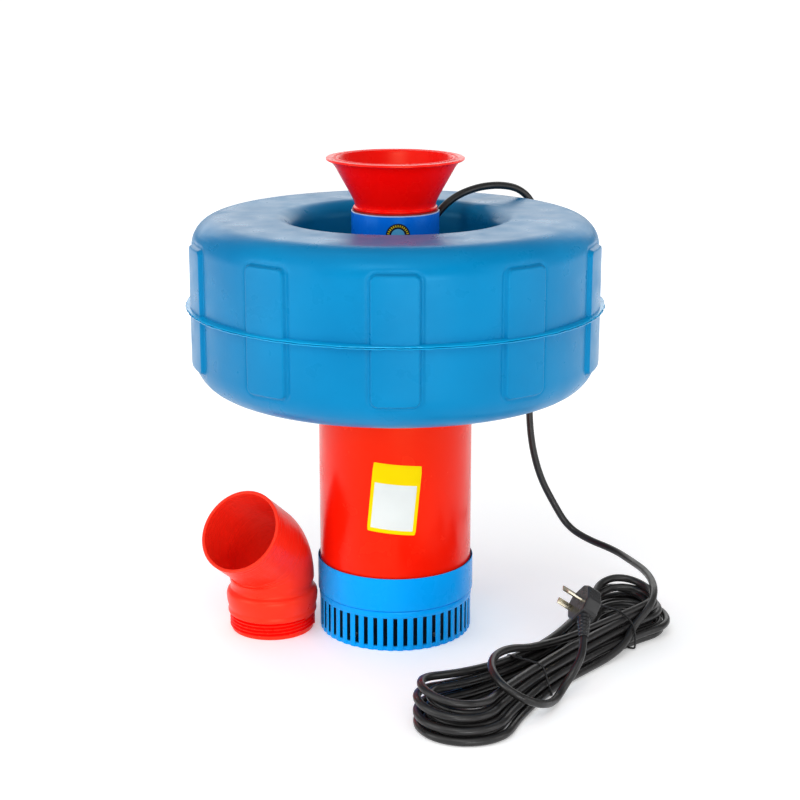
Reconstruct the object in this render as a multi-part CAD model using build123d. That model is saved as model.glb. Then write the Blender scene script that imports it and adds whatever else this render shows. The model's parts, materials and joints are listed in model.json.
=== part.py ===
from build123d import *
from math import atan2, cos, degrees, pi, radians, sin, tan
import os

# A floating pond aerator: a submersible motor and pump hang in a hollow ring float,
# and the water leaves upwards through a horn. An elbow and the mains cable lie beside it.
# Millimetres. The origin is on the pump axis at floor level, +Z is up, -Y is the front.

# Pump tube and strainer
BARREL_R = 80.0
BARREL_WALL = 4.0
STRAINER_STEP = 0.6
STRAINER_WALL = 3.0
STRAINER_FLOOR = 3.0
STRAINER_BAND_WALL = 2.3
STRAINER_BAND_FOOT_Z = 50.0
STRAINER_BAND_HEIGHT = 30.0
SLOT_COUNT = 50
SLOT_WIDTH = 3.7
SLOT_BOTTOM_Z = 8.0
SLOT_TOP_Z = 42.0
GROOVE_REACH = 3.0
GROOVE_DEPTH = 0.8
SOCKET_GAP = 0.2
STRAINER_POST_R = 5.0
STRAINER_POST_CIRCLE_R = 62.0

# Wet end
SUCTION_PLATE = 7.0
SUCTION_RIM = 3.0
WEAR_GAP = 0.4
IMPELLER_R = 56.0
IMPELLER_EYE_R = 30.0
IMPELLER_NECK_WALL = 2.6
IMPELLER_SHROUD = 3.0
IMPELLER_FRONT_GAP = 2.0
VANE_HEIGHT = 14.0
VANE_THICKNESS = 2.6
VANE_COUNT = 6
IMPELLER_HUB_R = 14.0
IMPELLER_HUB_HEIGHT = 24.0
DIFFUSER_BACK_GAP = 3.0
DIFFUSER_DECK = 6.0
DIFFUSER_SEAT_HEIGHT = 12.0
DIFFUSER_SHROUD_WALL = 2.5
GUIDE_VANE_COUNT = 9
GUIDE_VANE_THICKNESS = 2.4
GUIDE_VANE_BEND_R = 52.0

# Motor
CAN_R = 62.0
CAN_WALL = 3.5
CAN_HEIGHT = 190.0
COVER_FLANGE = 6.0
COVER_STEM = 4.0
LAMINATION_HEIGHT = 80.0
STATOR_FOOT_HEIGHT = 32.0
STATOR_FOOT_WALL = 5.4
STATOR_DEPTH = 26.4
AIR_GAP = 0.5
WINDING_HEIGHT = 16.0
WINDING_DEPTH = 14.5
WINDING_GAP = 1.5
END_RING_HEIGHT = 6.0
END_RING_WIDTH = 11.5
CORE_SHAFT_R = 12.5
BEARING_BORE_R = 10.0
BEARING_R = 23.5
BEARING_WIDTH = 14.0
BALL_R = 3.9
BALL_COUNT = 8
HOUSING_WALL = 5.5
BRACKET_DECK = 6.0
POST_R = 5.0
POST_INSET = 11.4
POST_HEIGHT = 36.0
TIE_BOLT_R = 2.0
TIE_BOLT_COUNT = 4
LEAD_WINDOW_R = 7.0
LEAD_WINDOW_INSET = 18.4
CAPACITOR_R = 16.5
CAPACITOR_LENGTH = 60.0
STRAP = 1.0
UPPER_COVER = 5.0
FIN_COUNT = 3
FIT_GAP = 0.1

# Discharge
HEAD_FLANGE_REACH = 18.0
HEAD_FLANGE = 8.0
HEAD_SPIGOT_DEPTH = 24.0
HEAD_WALL = 3.5
HEAD_DOME = 14.0
BOSS_R = 52.0
BOSS_HEIGHT = 38.0
GASKET = 1.5
BARREL_TOP_Z = 338.5
OUTLET_THREAD_R = 45.5
OUTLET_THREAD_GAP = 0.15
OUTLET_THREAD_LENGTH = 19.5
SLEEVE_R = 44.8
SLEEVE_WALL = 4.1
SLEEVE_HEIGHT = 68.0
SPIGOT_R = 40.55
SPIGOT_DEPTH = 25.0
HORN_SEAL = 1.5
HORN_RIM_R = 70.0
HORN_MOUTH_R = 56.5
HORN_LIP = 2.6
HORN_WALL = 3.2
HORN_HEIGHT = 52.0

# Float ring
FLOAT_R = 207.0
FLOAT_TOP_Z = 443.0
FLOAT_BOTTOM_Z = 268.0
FLOAT_TOP_ROUND = 28.0
FLOAT_BOTTOM_ROUND = 35.0
FLOAT_WALL = 3.0
FOAM_GAP = 0.3
FLOAT_WELL_REACH = 7.0
FLOAT_WELL_ROUND = 18.0
FLOAT_HOLE_GAP = 4.5
FLOAT_LEDGE_DEPTH = 18.0
SEAM_STAND = 8.0
SEAM_Z = 354.0
SEAM_HEIGHT = 3.0
PAD_COUNT = 10
PAD_STAND = 3.5
PAD_WIDTH = 49.0
PAD_TOP_Z = 422.0
PAD_BOTTOM_Z = 295.0
PAD_CORNER = 8.0
FLOAT_SCREW_COUNT = 6
FLOAT_SCREW_R = 3.0

# Elbow, a loose outlet that stands beside the pump
ELBOW_GAP = 1.05
ELBOW_SIDE = 183.47
ELBOW_PIPE_R = 45.0
ELBOW_WALL = 3.5
ELBOW_COLLAR_R = 48.5
ELBOW_COLLAR_TOP_Z = 45.0
ELBOW_GROOVE_WIDTH = 8.0
ELBOW_GROOVE_DEPTH = 1.0
ELBOW_KNEE_Z = 81.0
ELBOW_ARM = 70.0
ELBOW_BEND_R = 50.0
ELBOW_TURN = 53.0
ELBOW_HEADING = 239.0

# Cable
CORD_R = 4.0
GLAND_PLACE = (31.5, 59.2)
LEAD_EXIT_INSET = 12.0
LEAD_BOSS_R = 8.0
GLAND_THREAD_R = 7.0
GLAND_THREAD_LENGTH = 7.0
GLAND_FLANGE = 6.0
GLAND_NUT = 12.0
CORD_ROUTE = [
    (31.5, 59.2, 404), (40, 66, 430), (60, 78, 449), (85, 95, 457.5), (112, 112, 458.5),
    (136, 134, 451), (153, 150, 431), (158, 159, 400), (158, 161, 360), (155, 159, 310),
    (152, 156, 255), (151.5, 152.5, 205), (154.5, 150, 160), (165, 148, 119), (181, 146, 88),
    (197.5, 142, 60.5), (219, 130, 49), (248.5, 108, 43.6), (264.5, 72, 42.5), (273, 35, 46),
    (276, -2, 48), (274.5, -30, 45), (266, -54, 38), (248, -68, 24),
]
TAIL_ROUTE = [
    (146, -124, 20), (131, -149, 33), (114, -170, 42), (99, -187, 43), (92, -208, 43),
    (96, -232, 40), (111, -243, 31), (128, -236, 18), (141, -222, 8), (155, -205, 5),
    (166, -193, 13), (176, -187, 27),
]
TAIL_LEAD_IN = 20.0
HANK_PLACE = (155.0, -138.0)
HANK_HEADING = 52.0
HANK_HALF_LENGTH = 193.0
HANK_NEAR_R = 46.0
HANK_FAR_R = 41.0
HANK_WAIST_R = 27.0
HANK_HEIGHT = 34.0
HANK_ROUND = 9.0
TIE_R = 1.2
TIE_PLACES = (-46.0, 104.0)

# Plug
PLUG_FOOT = (186.5, -152.0, 44.5)
PLUG_HEADING = (0.107, 0.94, 0.322)
PIN_HEADING = (-0.8, 0.0, 0.6)
RELIEF_LENGTH = 30.0
RELIEF_R = 7.0
PLUG_LENGTH = 38.0
PLUG_WIDTH = 35.0
PLUG_THICKNESS = 17.0
PIN_LENGTH = 19.0
PIN_WIDTH = 6.3
PIN_THICKNESS = 1.6
PIN_SPREAD = 7.9

# Places that follow from the sizes above
BARREL_BORE_R = BARREL_R - BARREL_WALL
STRAINER_R = BARREL_R + STRAINER_STEP
STRAINER_BORE_R = STRAINER_R - STRAINER_WALL
BAND_BORE_R = BARREL_R + SOCKET_GAP
SUCTION_Z = STRAINER_BAND_FOOT_Z
SUCTION_TOP_Z = SUCTION_Z + SUCTION_PLATE
BARREL_FOOT_Z = SUCTION_Z + SUCTION_RIM
NECK_R = IMPELLER_EYE_R + IMPELLER_NECK_WALL
IMPELLER_Z = SUCTION_TOP_Z + IMPELLER_FRONT_GAP
VANE_Z = IMPELLER_Z + IMPELLER_SHROUD
IMPELLER_TOP_Z = VANE_Z + VANE_HEIGHT + IMPELLER_SHROUD
HUB_TOP_Z = VANE_Z + IMPELLER_HUB_HEIGHT
DECK_Z = IMPELLER_TOP_Z + DIFFUSER_BACK_GAP
COVER_Z = DECK_Z + DIFFUSER_DECK + DIFFUSER_SEAT_HEIGHT
CAN_Z = COVER_Z + COVER_FLANGE
CAN_BORE_R = CAN_R - CAN_WALL
CAN_TOP_Z = CAN_Z + CAN_HEIGHT
LOWER_BEARING_Z = CAN_Z + COVER_STEM
STATOR_Z = CAN_Z + STATOR_FOOT_HEIGHT
STATOR_TOP_Z = STATOR_Z + LAMINATION_HEIGHT
STATOR_R = CAN_BORE_R - FIT_GAP
STATOR_BORE_R = STATOR_R - STATOR_DEPTH
WINDING_OUT_R = STATOR_R - STATOR_FOOT_WALL - WINDING_GAP
WINDING_IN_R = WINDING_OUT_R - WINDING_DEPTH
POST_CIRCLE_R = STATOR_R - POST_INSET
LEAD_WINDOW_CIRCLE_R = STATOR_R - LEAD_WINDOW_INSET
LEAD_EXIT_R = CAN_R - LEAD_EXIT_INSET
BRACKET_TOP_Z = STATOR_TOP_Z + STATOR_FOOT_HEIGHT + BRACKET_DECK
UPPER_BEARING_Z = BRACKET_TOP_Z - BEARING_WIDTH - 2 * STRAP
TIE_CIRCLE_R = STATOR_R - STATOR_FOOT_WALL / 2
DECK_SCREW_CIRCLE_R = CAN_R - 4.5
SEAT_R = BEARING_BORE_R + 7.0
HEAD_FLANGE_R = BARREL_R + HEAD_FLANGE_REACH
FLOAT_WELL_R = HEAD_FLANGE_R + FLOAT_WELL_REACH
FLOAT_LEDGE_Z = BARREL_TOP_Z + GASKET
FLANGE_TOP_Z = FLOAT_LEDGE_Z + HEAD_FLANGE
DOME_TOP_Z = FLANGE_TOP_Z + HEAD_DOME
BOSS_TOP_Z = DOME_TOP_Z + BOSS_HEIGHT
BOSS_BORE_R = OUTLET_THREAD_R + OUTLET_THREAD_GAP
SLEEVE_Z = BOSS_TOP_Z - OUTLET_THREAD_LENGTH
SLEEVE_TOP_Z = SLEEVE_Z + SLEEVE_HEIGHT
SLEEVE_BORE_R = SLEEVE_R - SLEEVE_WALL
HORN_Z = SLEEVE_TOP_Z + HORN_SEAL
HORN_TOP_Z = HORN_Z + HORN_HEIGHT
FLOAT_HOLE_R = BARREL_R + FLOAT_HOLE_GAP
FLOAT_SCREW_CIRCLE_R = (HEAD_FLANGE_R + FLOAT_HOLE_R) / 2
STRAINER_BAND_R = BAND_BORE_R + STRAINER_BAND_WALL
ELBOW_DISTANCE = STRAINER_BAND_R + ELBOW_COLLAR_R + ELBOW_GAP
ELBOW_PLACE = (ELBOW_DISTANCE * cos(radians(ELBOW_SIDE)), ELBOW_DISTANCE * sin(radians(ELBOW_SIDE)))
GLAND_NUT_Z = DOME_TOP_Z + GLAND_FLANGE
GLAND_TOP_Z = GLAND_NUT_Z + GLAND_NUT
GLAND_ANGLE = degrees(atan2(GLAND_PLACE[1], GLAND_PLACE[0]))
PITCH_R = (BEARING_BORE_R + BEARING_R) / 2


def turned(*outline):
    """Returns the solid that an outline of (radius, height) corners sweeps about the axis."""
    return revolve(Plane.XZ * make_face(Polyline(*outline, close=True)), Axis.Z)


def ring(outer_r, inner_r, foot_z, top_z):
    """Returns a plain ring about the pump axis."""
    return turned((inner_r, foot_z), (outer_r, foot_z), (outer_r, top_z), (inner_r, top_z))


def rod(radius, foot_z, top_z, place=(0, 0)):
    """Returns an upright cylinder."""
    foot = Location((place[0], place[1], foot_z))
    return foot * Cylinder(radius, top_z - foot_z, align=(Align.CENTER, Align.CENTER, Align.MIN))


def around(shape, radius, count, start=0.0):
    """Returns copies of a shape set out evenly on a circle about the axis."""
    step = 360.0 / count
    return [Rot(0, 0, start + step * i) * Pos(radius, 0, 0) * shape for i in range(count)]


def cap_screw(radius, head_r, head, tip_z, seat_z):
    """Returns an upright screw whose head sits on the seat height."""
    return rod(radius, tip_z, seat_z) + rod(head_r, seat_z, seat_z + head)


def route_path(points):
    """Returns straight runs joined by the largest tangent arcs, and the radii of the arcs."""
    corners = [Vector(*p) for p in points]
    radii = []
    for before, here, after in zip(corners, corners[1:], corners[2:]):
        turn = radians((here - before).get_angle(after - here))
        shorter = min((here - before).length, (after - here).length)
        radii.append(0.45 * shorter / tan(turn / 2))
    return FilletPolyline(*corners, radius=radii), radii


def tube(points, radius):
    """Returns a round tube along a route, and prints the tightest bend and the length."""
    path, radii = route_path(points)
    start = Plane(origin=path @ 0, z_dir=path % 0)
    solid = sweep(start * Circle(radius), path=path)
    print(f"tube: length {path.length:.0f}, tightest bend {min(radii):.1f}, "
          f"volume ratio {solid.volume / (pi * radius ** 2 * path.length):.4f}")
    return solid


def strainer():
    """Slotted cup under the pump, with a thin band that stands off round the barrel's foot."""
    band_top = STRAINER_BAND_FOOT_Z + STRAINER_BAND_HEIGHT
    band_r = STRAINER_BAND_R
    step = band_r - STRAINER_R
    cup = turned(
        (0, 0), (STRAINER_R, 0), (STRAINER_R, STRAINER_BAND_FOOT_Z - step),
        (band_r, STRAINER_BAND_FOOT_Z), (band_r, band_top), (BAND_BORE_R, band_top),
        (BAND_BORE_R, STRAINER_BAND_FOOT_Z), (STRAINER_BORE_R, STRAINER_BAND_FOOT_Z),
        (STRAINER_BORE_R, STRAINER_FLOOR), (0, STRAINER_FLOOR),
    )
    for post in around(rod(STRAINER_POST_R, STRAINER_FLOOR, SUCTION_Z), STRAINER_POST_CIRCLE_R, 4, 45):
        cup += post
    slot = Box(2 * STRAINER_WALL, SLOT_WIDTH, SLOT_TOP_Z - SLOT_BOTTOM_Z,
               align=(Align.CENTER, Align.CENTER, Align.MIN))
    slots = around(Pos(0, 0, SLOT_BOTTOM_Z) * slot, STRAINER_R - STRAINER_WALL / 2, SLOT_COUNT, 90)
    groove = Box(2 * GROOVE_DEPTH, SLOT_WIDTH, SLOT_TOP_Z - SLOT_BOTTOM_Z + 2 * GROOVE_REACH,
                 align=(Align.CENTER, Align.CENTER, Align.MIN))
    slots += around(Pos(0, 0, SLOT_BOTTOM_Z - GROOVE_REACH) * groove, STRAINER_R, SLOT_COUNT, 90)
    screw_way = rod(2.2, 0, SUCTION_Z) + rod(4.5, 0, STRAINER_FLOOR + 2)
    ways = around(screw_way, STRAINER_POST_CIRCLE_R, 4, 45)
    return cup - slots - ways


def strainer_screws():
    """Four screws up through the strainer's posts into the suction plate."""
    tip = SUCTION_TOP_Z - 1
    screw = rod(2.1, STRAINER_FLOOR + 2, tip) + rod(4.2, STRAINER_FLOOR - 1, STRAINER_FLOOR + 2)
    return Compound(children=around(screw, STRAINER_POST_CIRCLE_R, 4, 45))


def suction_plate():
    """Plate that closes the barrel's foot and guides the water into the impeller's eye."""
    spigot_r = BARREL_BORE_R - FIT_GAP
    wear_r = NECK_R + WEAR_GAP
    plate = turned(
        (wear_r + 5, SUCTION_Z), (BARREL_R - FIT_GAP, SUCTION_Z), (BARREL_R - FIT_GAP, BARREL_FOOT_Z),
        (spigot_r, BARREL_FOOT_Z), (spigot_r, SUCTION_TOP_Z), (wear_r, SUCTION_TOP_Z), (wear_r, SUCTION_Z + 2),
    )
    return plate - around(rod(2.1, SUCTION_Z, SUCTION_TOP_Z - 1), STRAINER_POST_CIRCLE_R, 4, 45)


def barrel():
    """Plain outer tube of the pump."""
    return ring(BARREL_R, BARREL_BORE_R, BARREL_FOOT_Z, BARREL_TOP_Z)


def impeller():
    """Closed centrifugal impeller with backward-curved vanes between two shrouds."""
    front = ring(IMPELLER_R, IMPELLER_EYE_R, IMPELLER_Z, VANE_Z)
    neck = ring(NECK_R, IMPELLER_EYE_R, SUCTION_Z + 1, IMPELLER_Z)
    back_z = VANE_Z + VANE_HEIGHT
    back = turned(
        (BEARING_BORE_R - 3, VANE_Z - 2), (IMPELLER_HUB_R - 2, VANE_Z - 2), (IMPELLER_HUB_R, VANE_Z + 4),
        (IMPELLER_HUB_R + 8, back_z), (IMPELLER_R, back_z), (IMPELLER_R, IMPELLER_TOP_Z),
        (IMPELLER_HUB_R, IMPELLER_TOP_Z), (IMPELLER_HUB_R, HUB_TOP_Z), (BEARING_BORE_R - 3, HUB_TOP_Z),
    )
    # The vane's centre line is an arc from near the eye to the rim, swept back by 70 degrees.
    inner_r = IMPELLER_EYE_R - 6
    outer_r = IMPELLER_R - 0.5
    middle_r = (inner_r + outer_r) / 2
    start = Vector(inner_r, 0)
    middle = Vector(middle_r * cos(radians(-24)), middle_r * sin(radians(-24)))
    end = Vector(outer_r * cos(radians(-62)), outer_r * sin(radians(-62)))
    blade_face = trace(ThreePointArc(start, middle, end), line_width=VANE_THICKNESS)
    blade = Pos(0, 0, VANE_Z) * extrude(blade_face, VANE_HEIGHT)
    wheel = front + neck + back
    for i in range(VANE_COUNT):
        wheel += Rot(0, 0, 360.0 / VANE_COUNT * i) * blade
    keyway = Pos(BEARING_BORE_R - 3, 0, VANE_Z - 2) * Box(
        2.8, 3.2, HUB_TOP_Z - VANE_Z + 2, align=(Align.CENTER, Align.CENTER, Align.MIN))
    return wheel & rod(IMPELLER_R, SUCTION_Z, HUB_TOP_Z) - keyway


def guide_vane():
    """One diffuser vane: a bent plate that turns the water from the swirl to straight up."""
    foot_z = SUCTION_TOP_Z
    top_z = COVER_Z
    height = top_z - foot_z
    lean = 48.0
    bend_r = GUIDE_VANE_BEND_R
    start = Vector(0, height)
    middle = Vector(bend_r * (1 - cos(radians(lean / 2))), height - bend_r * sin(radians(lean / 2)))
    end = Vector(bend_r * (1 - cos(radians(lean))), height - bend_r * sin(radians(lean)))
    outline = trace(ThreePointArc(start, middle, end), line_width=GUIDE_VANE_THICKNESS)
    plate = extrude(Plane(origin=(0, 0, foot_z), x_dir=(1, 0, 0), z_dir=(0, -1, 0)) * outline, -BARREL_R)
    outer_r = BARREL_BORE_R - FIT_GAP - 1
    passage = ring(outer_r, IMPELLER_R + 3, foot_z, DECK_Z) + ring(outer_r, CAN_R - 3, DECK_Z, top_z)
    return plate & passage


def diffuser():
    """Ring of guide vanes between the impeller and the motor, on a deck that carries the motor."""
    shroud_r = BARREL_BORE_R - FIT_GAP
    shroud = ring(shroud_r, shroud_r - DIFFUSER_SHROUD_WALL, SUCTION_TOP_Z, COVER_Z)
    deck_top = DECK_Z + DIFFUSER_DECK
    hub = turned(
        (SEAT_R + 5, DECK_Z), (CAN_R - 0.6, DECK_Z), (CAN_R, DECK_Z + 0.6), (CAN_R, COVER_Z),
        (CAN_R - 8, COVER_Z), (CAN_R - 8, deck_top), (SEAT_R + 5, deck_top),
    )
    body = shroud + hub
    vane = guide_vane()
    for i in range(GUIDE_VANE_COUNT):
        body += Rot(0, 0, 360.0 / GUIDE_VANE_COUNT * i) * vane
    screw_way = rod(2.1, DECK_Z, COVER_Z) + rod(3.2, DECK_Z, DECK_Z + 3)
    return body - around(screw_way, DECK_SCREW_CIRCLE_R, 4, 45)


def diffuser_screws():
    """Four screws up through the diffuser's deck into the motor's lower cover."""
    screw = rod(2.0, DECK_Z + 3, CAN_Z - 1) + rod(3.0, DECK_Z + 0.4, DECK_Z + 3)
    return Compound(children=around(screw, DECK_SCREW_CIRCLE_R, 4, 45))


def lower_cover():
    """Cast cover under the motor: seal seat, lower bearing housing and the stator's foot."""
    housing_r = BEARING_R + HOUSING_WALL
    foot_r = STATOR_R - STATOR_FOOT_WALL
    body = turned(
        (SEAT_R, COVER_Z - 3), (SEAT_R + 4, COVER_Z - 3), (SEAT_R + 4, COVER_Z), (CAN_R, COVER_Z),
        (CAN_R, CAN_Z), (STATOR_R, CAN_Z), (STATOR_R, STATOR_Z), (foot_r, STATOR_Z), (foot_r, CAN_Z),
        (housing_r, CAN_Z), (housing_r, LOWER_BEARING_Z + BEARING_WIDTH), (BEARING_R, LOWER_BEARING_Z + BEARING_WIDTH),
        (BEARING_R, LOWER_BEARING_Z), (BEARING_BORE_R + 2, LOWER_BEARING_Z), (BEARING_BORE_R + 2, COVER_Z + 3),
        (SEAT_R, COVER_Z + 3),
    )
    body -= around(rod(2.0, COVER_Z, CAN_Z - 1), DECK_SCREW_CIRCLE_R, 4, 45)
    return body - around(rod(TIE_BOLT_R, CAN_Z + 8, STATOR_Z), TIE_CIRCLE_R, TIE_BOLT_COUNT)


def motor_can():
    """Steel tube round the motor."""
    return ring(CAN_R, CAN_BORE_R, CAN_Z, CAN_TOP_Z)


def stator_core():
    """Stack of stator sheets, with holes for the tie bolts."""
    core = ring(STATOR_R, STATOR_BORE_R, STATOR_Z, STATOR_TOP_Z)
    return core - around(rod(TIE_BOLT_R + 0.1, STATOR_Z, STATOR_TOP_Z), TIE_CIRCLE_R, TIE_BOLT_COUNT)


def winding(foot_z):
    """End turns of the stator's windings: a rounded ring of copper."""
    section = make_face(Polyline(
        (WINDING_IN_R, foot_z), (WINDING_OUT_R, foot_z), (WINDING_OUT_R, foot_z + WINDING_HEIGHT),
        (WINDING_IN_R, foot_z + WINDING_HEIGHT), close=True))
    return revolve(Plane.XZ * fillet(section.vertices(), 4), Axis.Z)


def upper_bracket():
    """Bracket over the stator: upper bearing housing, windows for the leads and cover posts."""
    foot_r = STATOR_R - STATOR_FOOT_WALL
    housing_r = BEARING_R + HOUSING_WALL
    deck_z = BRACKET_TOP_Z - BRACKET_DECK
    body = turned(
        (0, BRACKET_TOP_Z), (STATOR_R, BRACKET_TOP_Z), (STATOR_R, STATOR_TOP_Z), (foot_r, STATOR_TOP_Z),
        (foot_r, deck_z), (housing_r, deck_z), (housing_r, UPPER_BEARING_Z), (BEARING_R, UPPER_BEARING_Z),
        (BEARING_R, UPPER_BEARING_Z + BEARING_WIDTH), (0, UPPER_BEARING_Z + BEARING_WIDTH),
    )
    for post in around(rod(POST_R, BRACKET_TOP_Z, BRACKET_TOP_Z + POST_HEIGHT), POST_CIRCLE_R, 3, 90):
        body += post
    body -= around(rod(LEAD_WINDOW_R, deck_z, BRACKET_TOP_Z), LEAD_WINDOW_CIRCLE_R, 3, 30)
    body -= around(rod(2, BRACKET_TOP_Z + 8, BRACKET_TOP_Z + POST_HEIGHT), POST_CIRCLE_R, 3, 90)
    return body - around(rod(TIE_BOLT_R + 0.1, STATOR_TOP_Z, BRACKET_TOP_Z), TIE_CIRCLE_R, TIE_BOLT_COUNT)


def tie_bolts():
    """Long bolts that clamp the bracket and the stator onto the lower cover."""
    bolt = cap_screw(TIE_BOLT_R - FIT_GAP, TIE_BOLT_R * 1.2, 3, CAN_Z + 8, BRACKET_TOP_Z)
    return Compound(children=around(bolt, TIE_CIRCLE_R, TIE_BOLT_COUNT))


def capacitor():
    """Run capacitor that lies on the upper bracket."""
    axis_z = BRACKET_TOP_Z + STRAP + CAPACITOR_R
    body = Cylinder(CAPACITOR_R, CAPACITOR_LENGTH)
    body = chamfer(body.edges().filter_by(GeomType.CIRCLE), 1.5)
    return Pos(0, -5, axis_z) * Rot(0, 90, 0) * body


def capacitor_strap():
    """Bent strap that holds the capacitor to the bracket."""
    axis_z = BRACKET_TOP_Z + STRAP + CAPACITOR_R
    band = Cylinder(CAPACITOR_R + STRAP, 12) - Cylinder(CAPACITOR_R, 12)
    band = Pos(0, -5, axis_z) * Rot(0, 90, 0) * band
    foot = Pos(0, -5 - CAPACITOR_R - 4, BRACKET_TOP_Z) * Box(
        12, 12, 1.6, align=(Align.CENTER, Align.CENTER, Align.MIN))
    core = Pos(0, -5, axis_z) * Rot(0, 90, 0) * Cylinder(CAPACITOR_R, 12)
    return band + (foot - core)


def upper_cover():
    """Cover on the motor can, with the lead's boss and fins that centre it in the barrel."""
    spigot_z = BRACKET_TOP_Z + POST_HEIGHT
    top_z = CAN_TOP_Z + UPPER_COVER
    body = turned(
        (0, spigot_z), (STATOR_R, spigot_z), (STATOR_R, CAN_TOP_Z), (CAN_R, CAN_TOP_Z),
        (CAN_R, top_z - 2), (CAN_R - 2, top_z), (0, top_z),
    )
    fin_reach = BARREL_BORE_R - FIT_GAP
    fin = Pos(CAN_R - 6, 0, CAN_TOP_Z) * Box(
        BARREL_R - CAN_R + 6, 4, UPPER_COVER, align=(Align.MIN, Align.CENTER, Align.MIN))
    fin &= rod(fin_reach, CAN_TOP_Z, top_z)
    for i in range(FIN_COUNT):
        body += Rot(0, 0, 30 + 360.0 / FIN_COUNT * i) * fin
    lead = Rot(0, 0, GLAND_ANGLE) * Pos(LEAD_EXIT_R, 0, 0)
    body += lead * rod(LEAD_BOSS_R, top_z - 1, top_z + 4)
    body -= lead * rod(CORD_R + FIT_GAP, spigot_z, top_z + 4)
    return body - around(rod(2.2, spigot_z, top_z), POST_CIRCLE_R, 3, 90)


def cover_screws():
    """Three screws through the upper cover into the bracket's posts."""
    screw = cap_screw(1.9, 3.8, 3, BRACKET_TOP_Z + 12, CAN_TOP_Z + UPPER_COVER)
    return Compound(children=around(screw, POST_CIRCLE_R, 3, 90))


def bearing_outer(foot_z):
    """Outer race with its ball groove."""
    race = ring(BEARING_R, PITCH_R + 2.4, foot_z, foot_z + BEARING_WIDTH)
    return race - ball_track(foot_z)


def bearing_inner(foot_z):
    """Inner race with its ball groove."""
    race = ring(PITCH_R - 2.4, BEARING_BORE_R, foot_z, foot_z + BEARING_WIDTH)
    return race - ball_track(foot_z)


def ball_track(foot_z):
    """Ring-shaped room in which the balls run."""
    return Pos(0, 0, foot_z + BEARING_WIDTH / 2) * Torus(PITCH_R, BALL_R + 0.05)


def ball_cage(foot_z):
    """Balls held at even steps by a riveted cage."""
    middle_z = foot_z + BEARING_WIDTH / 2
    cage = ring(PITCH_R + 1.2, PITCH_R - 1.2, middle_z - 1.5, middle_z + 1.5)
    for ball in around(Pos(0, 0, middle_z) * Sphere(BALL_R), PITCH_R, BALL_COUNT):
        cage += ball
    return cage


def seal_seat():
    """Stationary face of the shaft seal, in the lower cover."""
    return ring(SEAT_R, BEARING_BORE_R + 1, COVER_Z - 2, COVER_Z + 3)


def seal_rotor():
    """Rotating face of the shaft seal."""
    return ring(IMPELLER_HUB_R, BEARING_BORE_R, COVER_Z - 6, COVER_Z - 2 - FIT_GAP)


def seal_bellows():
    """Rubber bellows and spring that press the rotating face up from the impeller's hub."""
    foot_z = HUB_TOP_Z
    top_z = COVER_Z - 6
    step = (top_z - foot_z) / 6
    outline = [(BEARING_BORE_R, foot_z)]
    for i in range(7):
        outline.append((IMPELLER_HUB_R - (2.0 if i % 2 else 0.0), foot_z + step * i))
    outline.append((BEARING_BORE_R, top_z))
    return turned(*outline)


def shaft():
    """Stepped shaft, from the impeller's nut to the upper bearing."""
    tip_r = BEARING_BORE_R - 3
    nut_z = VANE_Z - 2
    core_z = LOWER_BEARING_Z + BEARING_WIDTH
    body = turned(
        (0, nut_z - 12), (5, nut_z - 12), (5, nut_z), (tip_r, nut_z), (tip_r, HUB_TOP_Z),
        (BEARING_BORE_R, HUB_TOP_Z), (BEARING_BORE_R, core_z), (CORE_SHAFT_R, core_z),
        (CORE_SHAFT_R, UPPER_BEARING_Z), (BEARING_BORE_R, UPPER_BEARING_Z),
        (BEARING_BORE_R, UPPER_BEARING_Z + BEARING_WIDTH - 1), (0, UPPER_BEARING_Z + BEARING_WIDTH - 1),
    )
    return body - impeller_key()


def impeller_key():
    """Flat key between the shaft and the impeller."""
    return Pos(BEARING_BORE_R - 3, 0, VANE_Z) * Box(
        2.8, 3.2, IMPELLER_HUB_HEIGHT - 4, align=(Align.CENTER, Align.CENTER, Align.MIN))


def impeller_nut():
    """Hexagon nut and washer under the impeller."""
    seat_z = VANE_Z - 2
    washer = ring(IMPELLER_HUB_R - 2.5, 5, seat_z - 1.5, seat_z)
    hexagon = Pos(0, 0, seat_z - 9) * extrude(RegularPolygon(9.5, 6), 7.5)
    return washer + (hexagon - rod(5, seat_z - 9, seat_z))


def rotor_core():
    """Stack of rotor sheets on the shaft."""
    return ring(STATOR_BORE_R - AIR_GAP, CORE_SHAFT_R, STATOR_Z, STATOR_TOP_Z)


def rotor_end_rings():
    """Cast rings at both ends of the rotor's cage."""
    outer_r = STATOR_BORE_R - AIR_GAP - 1
    inner_r = outer_r - END_RING_WIDTH
    low = ring(outer_r, inner_r, STATOR_Z - END_RING_HEIGHT, STATOR_Z)
    high = ring(outer_r, inner_r, STATOR_TOP_Z, STATOR_TOP_Z + END_RING_HEIGHT)
    return Compound(children=[low, high])


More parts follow.
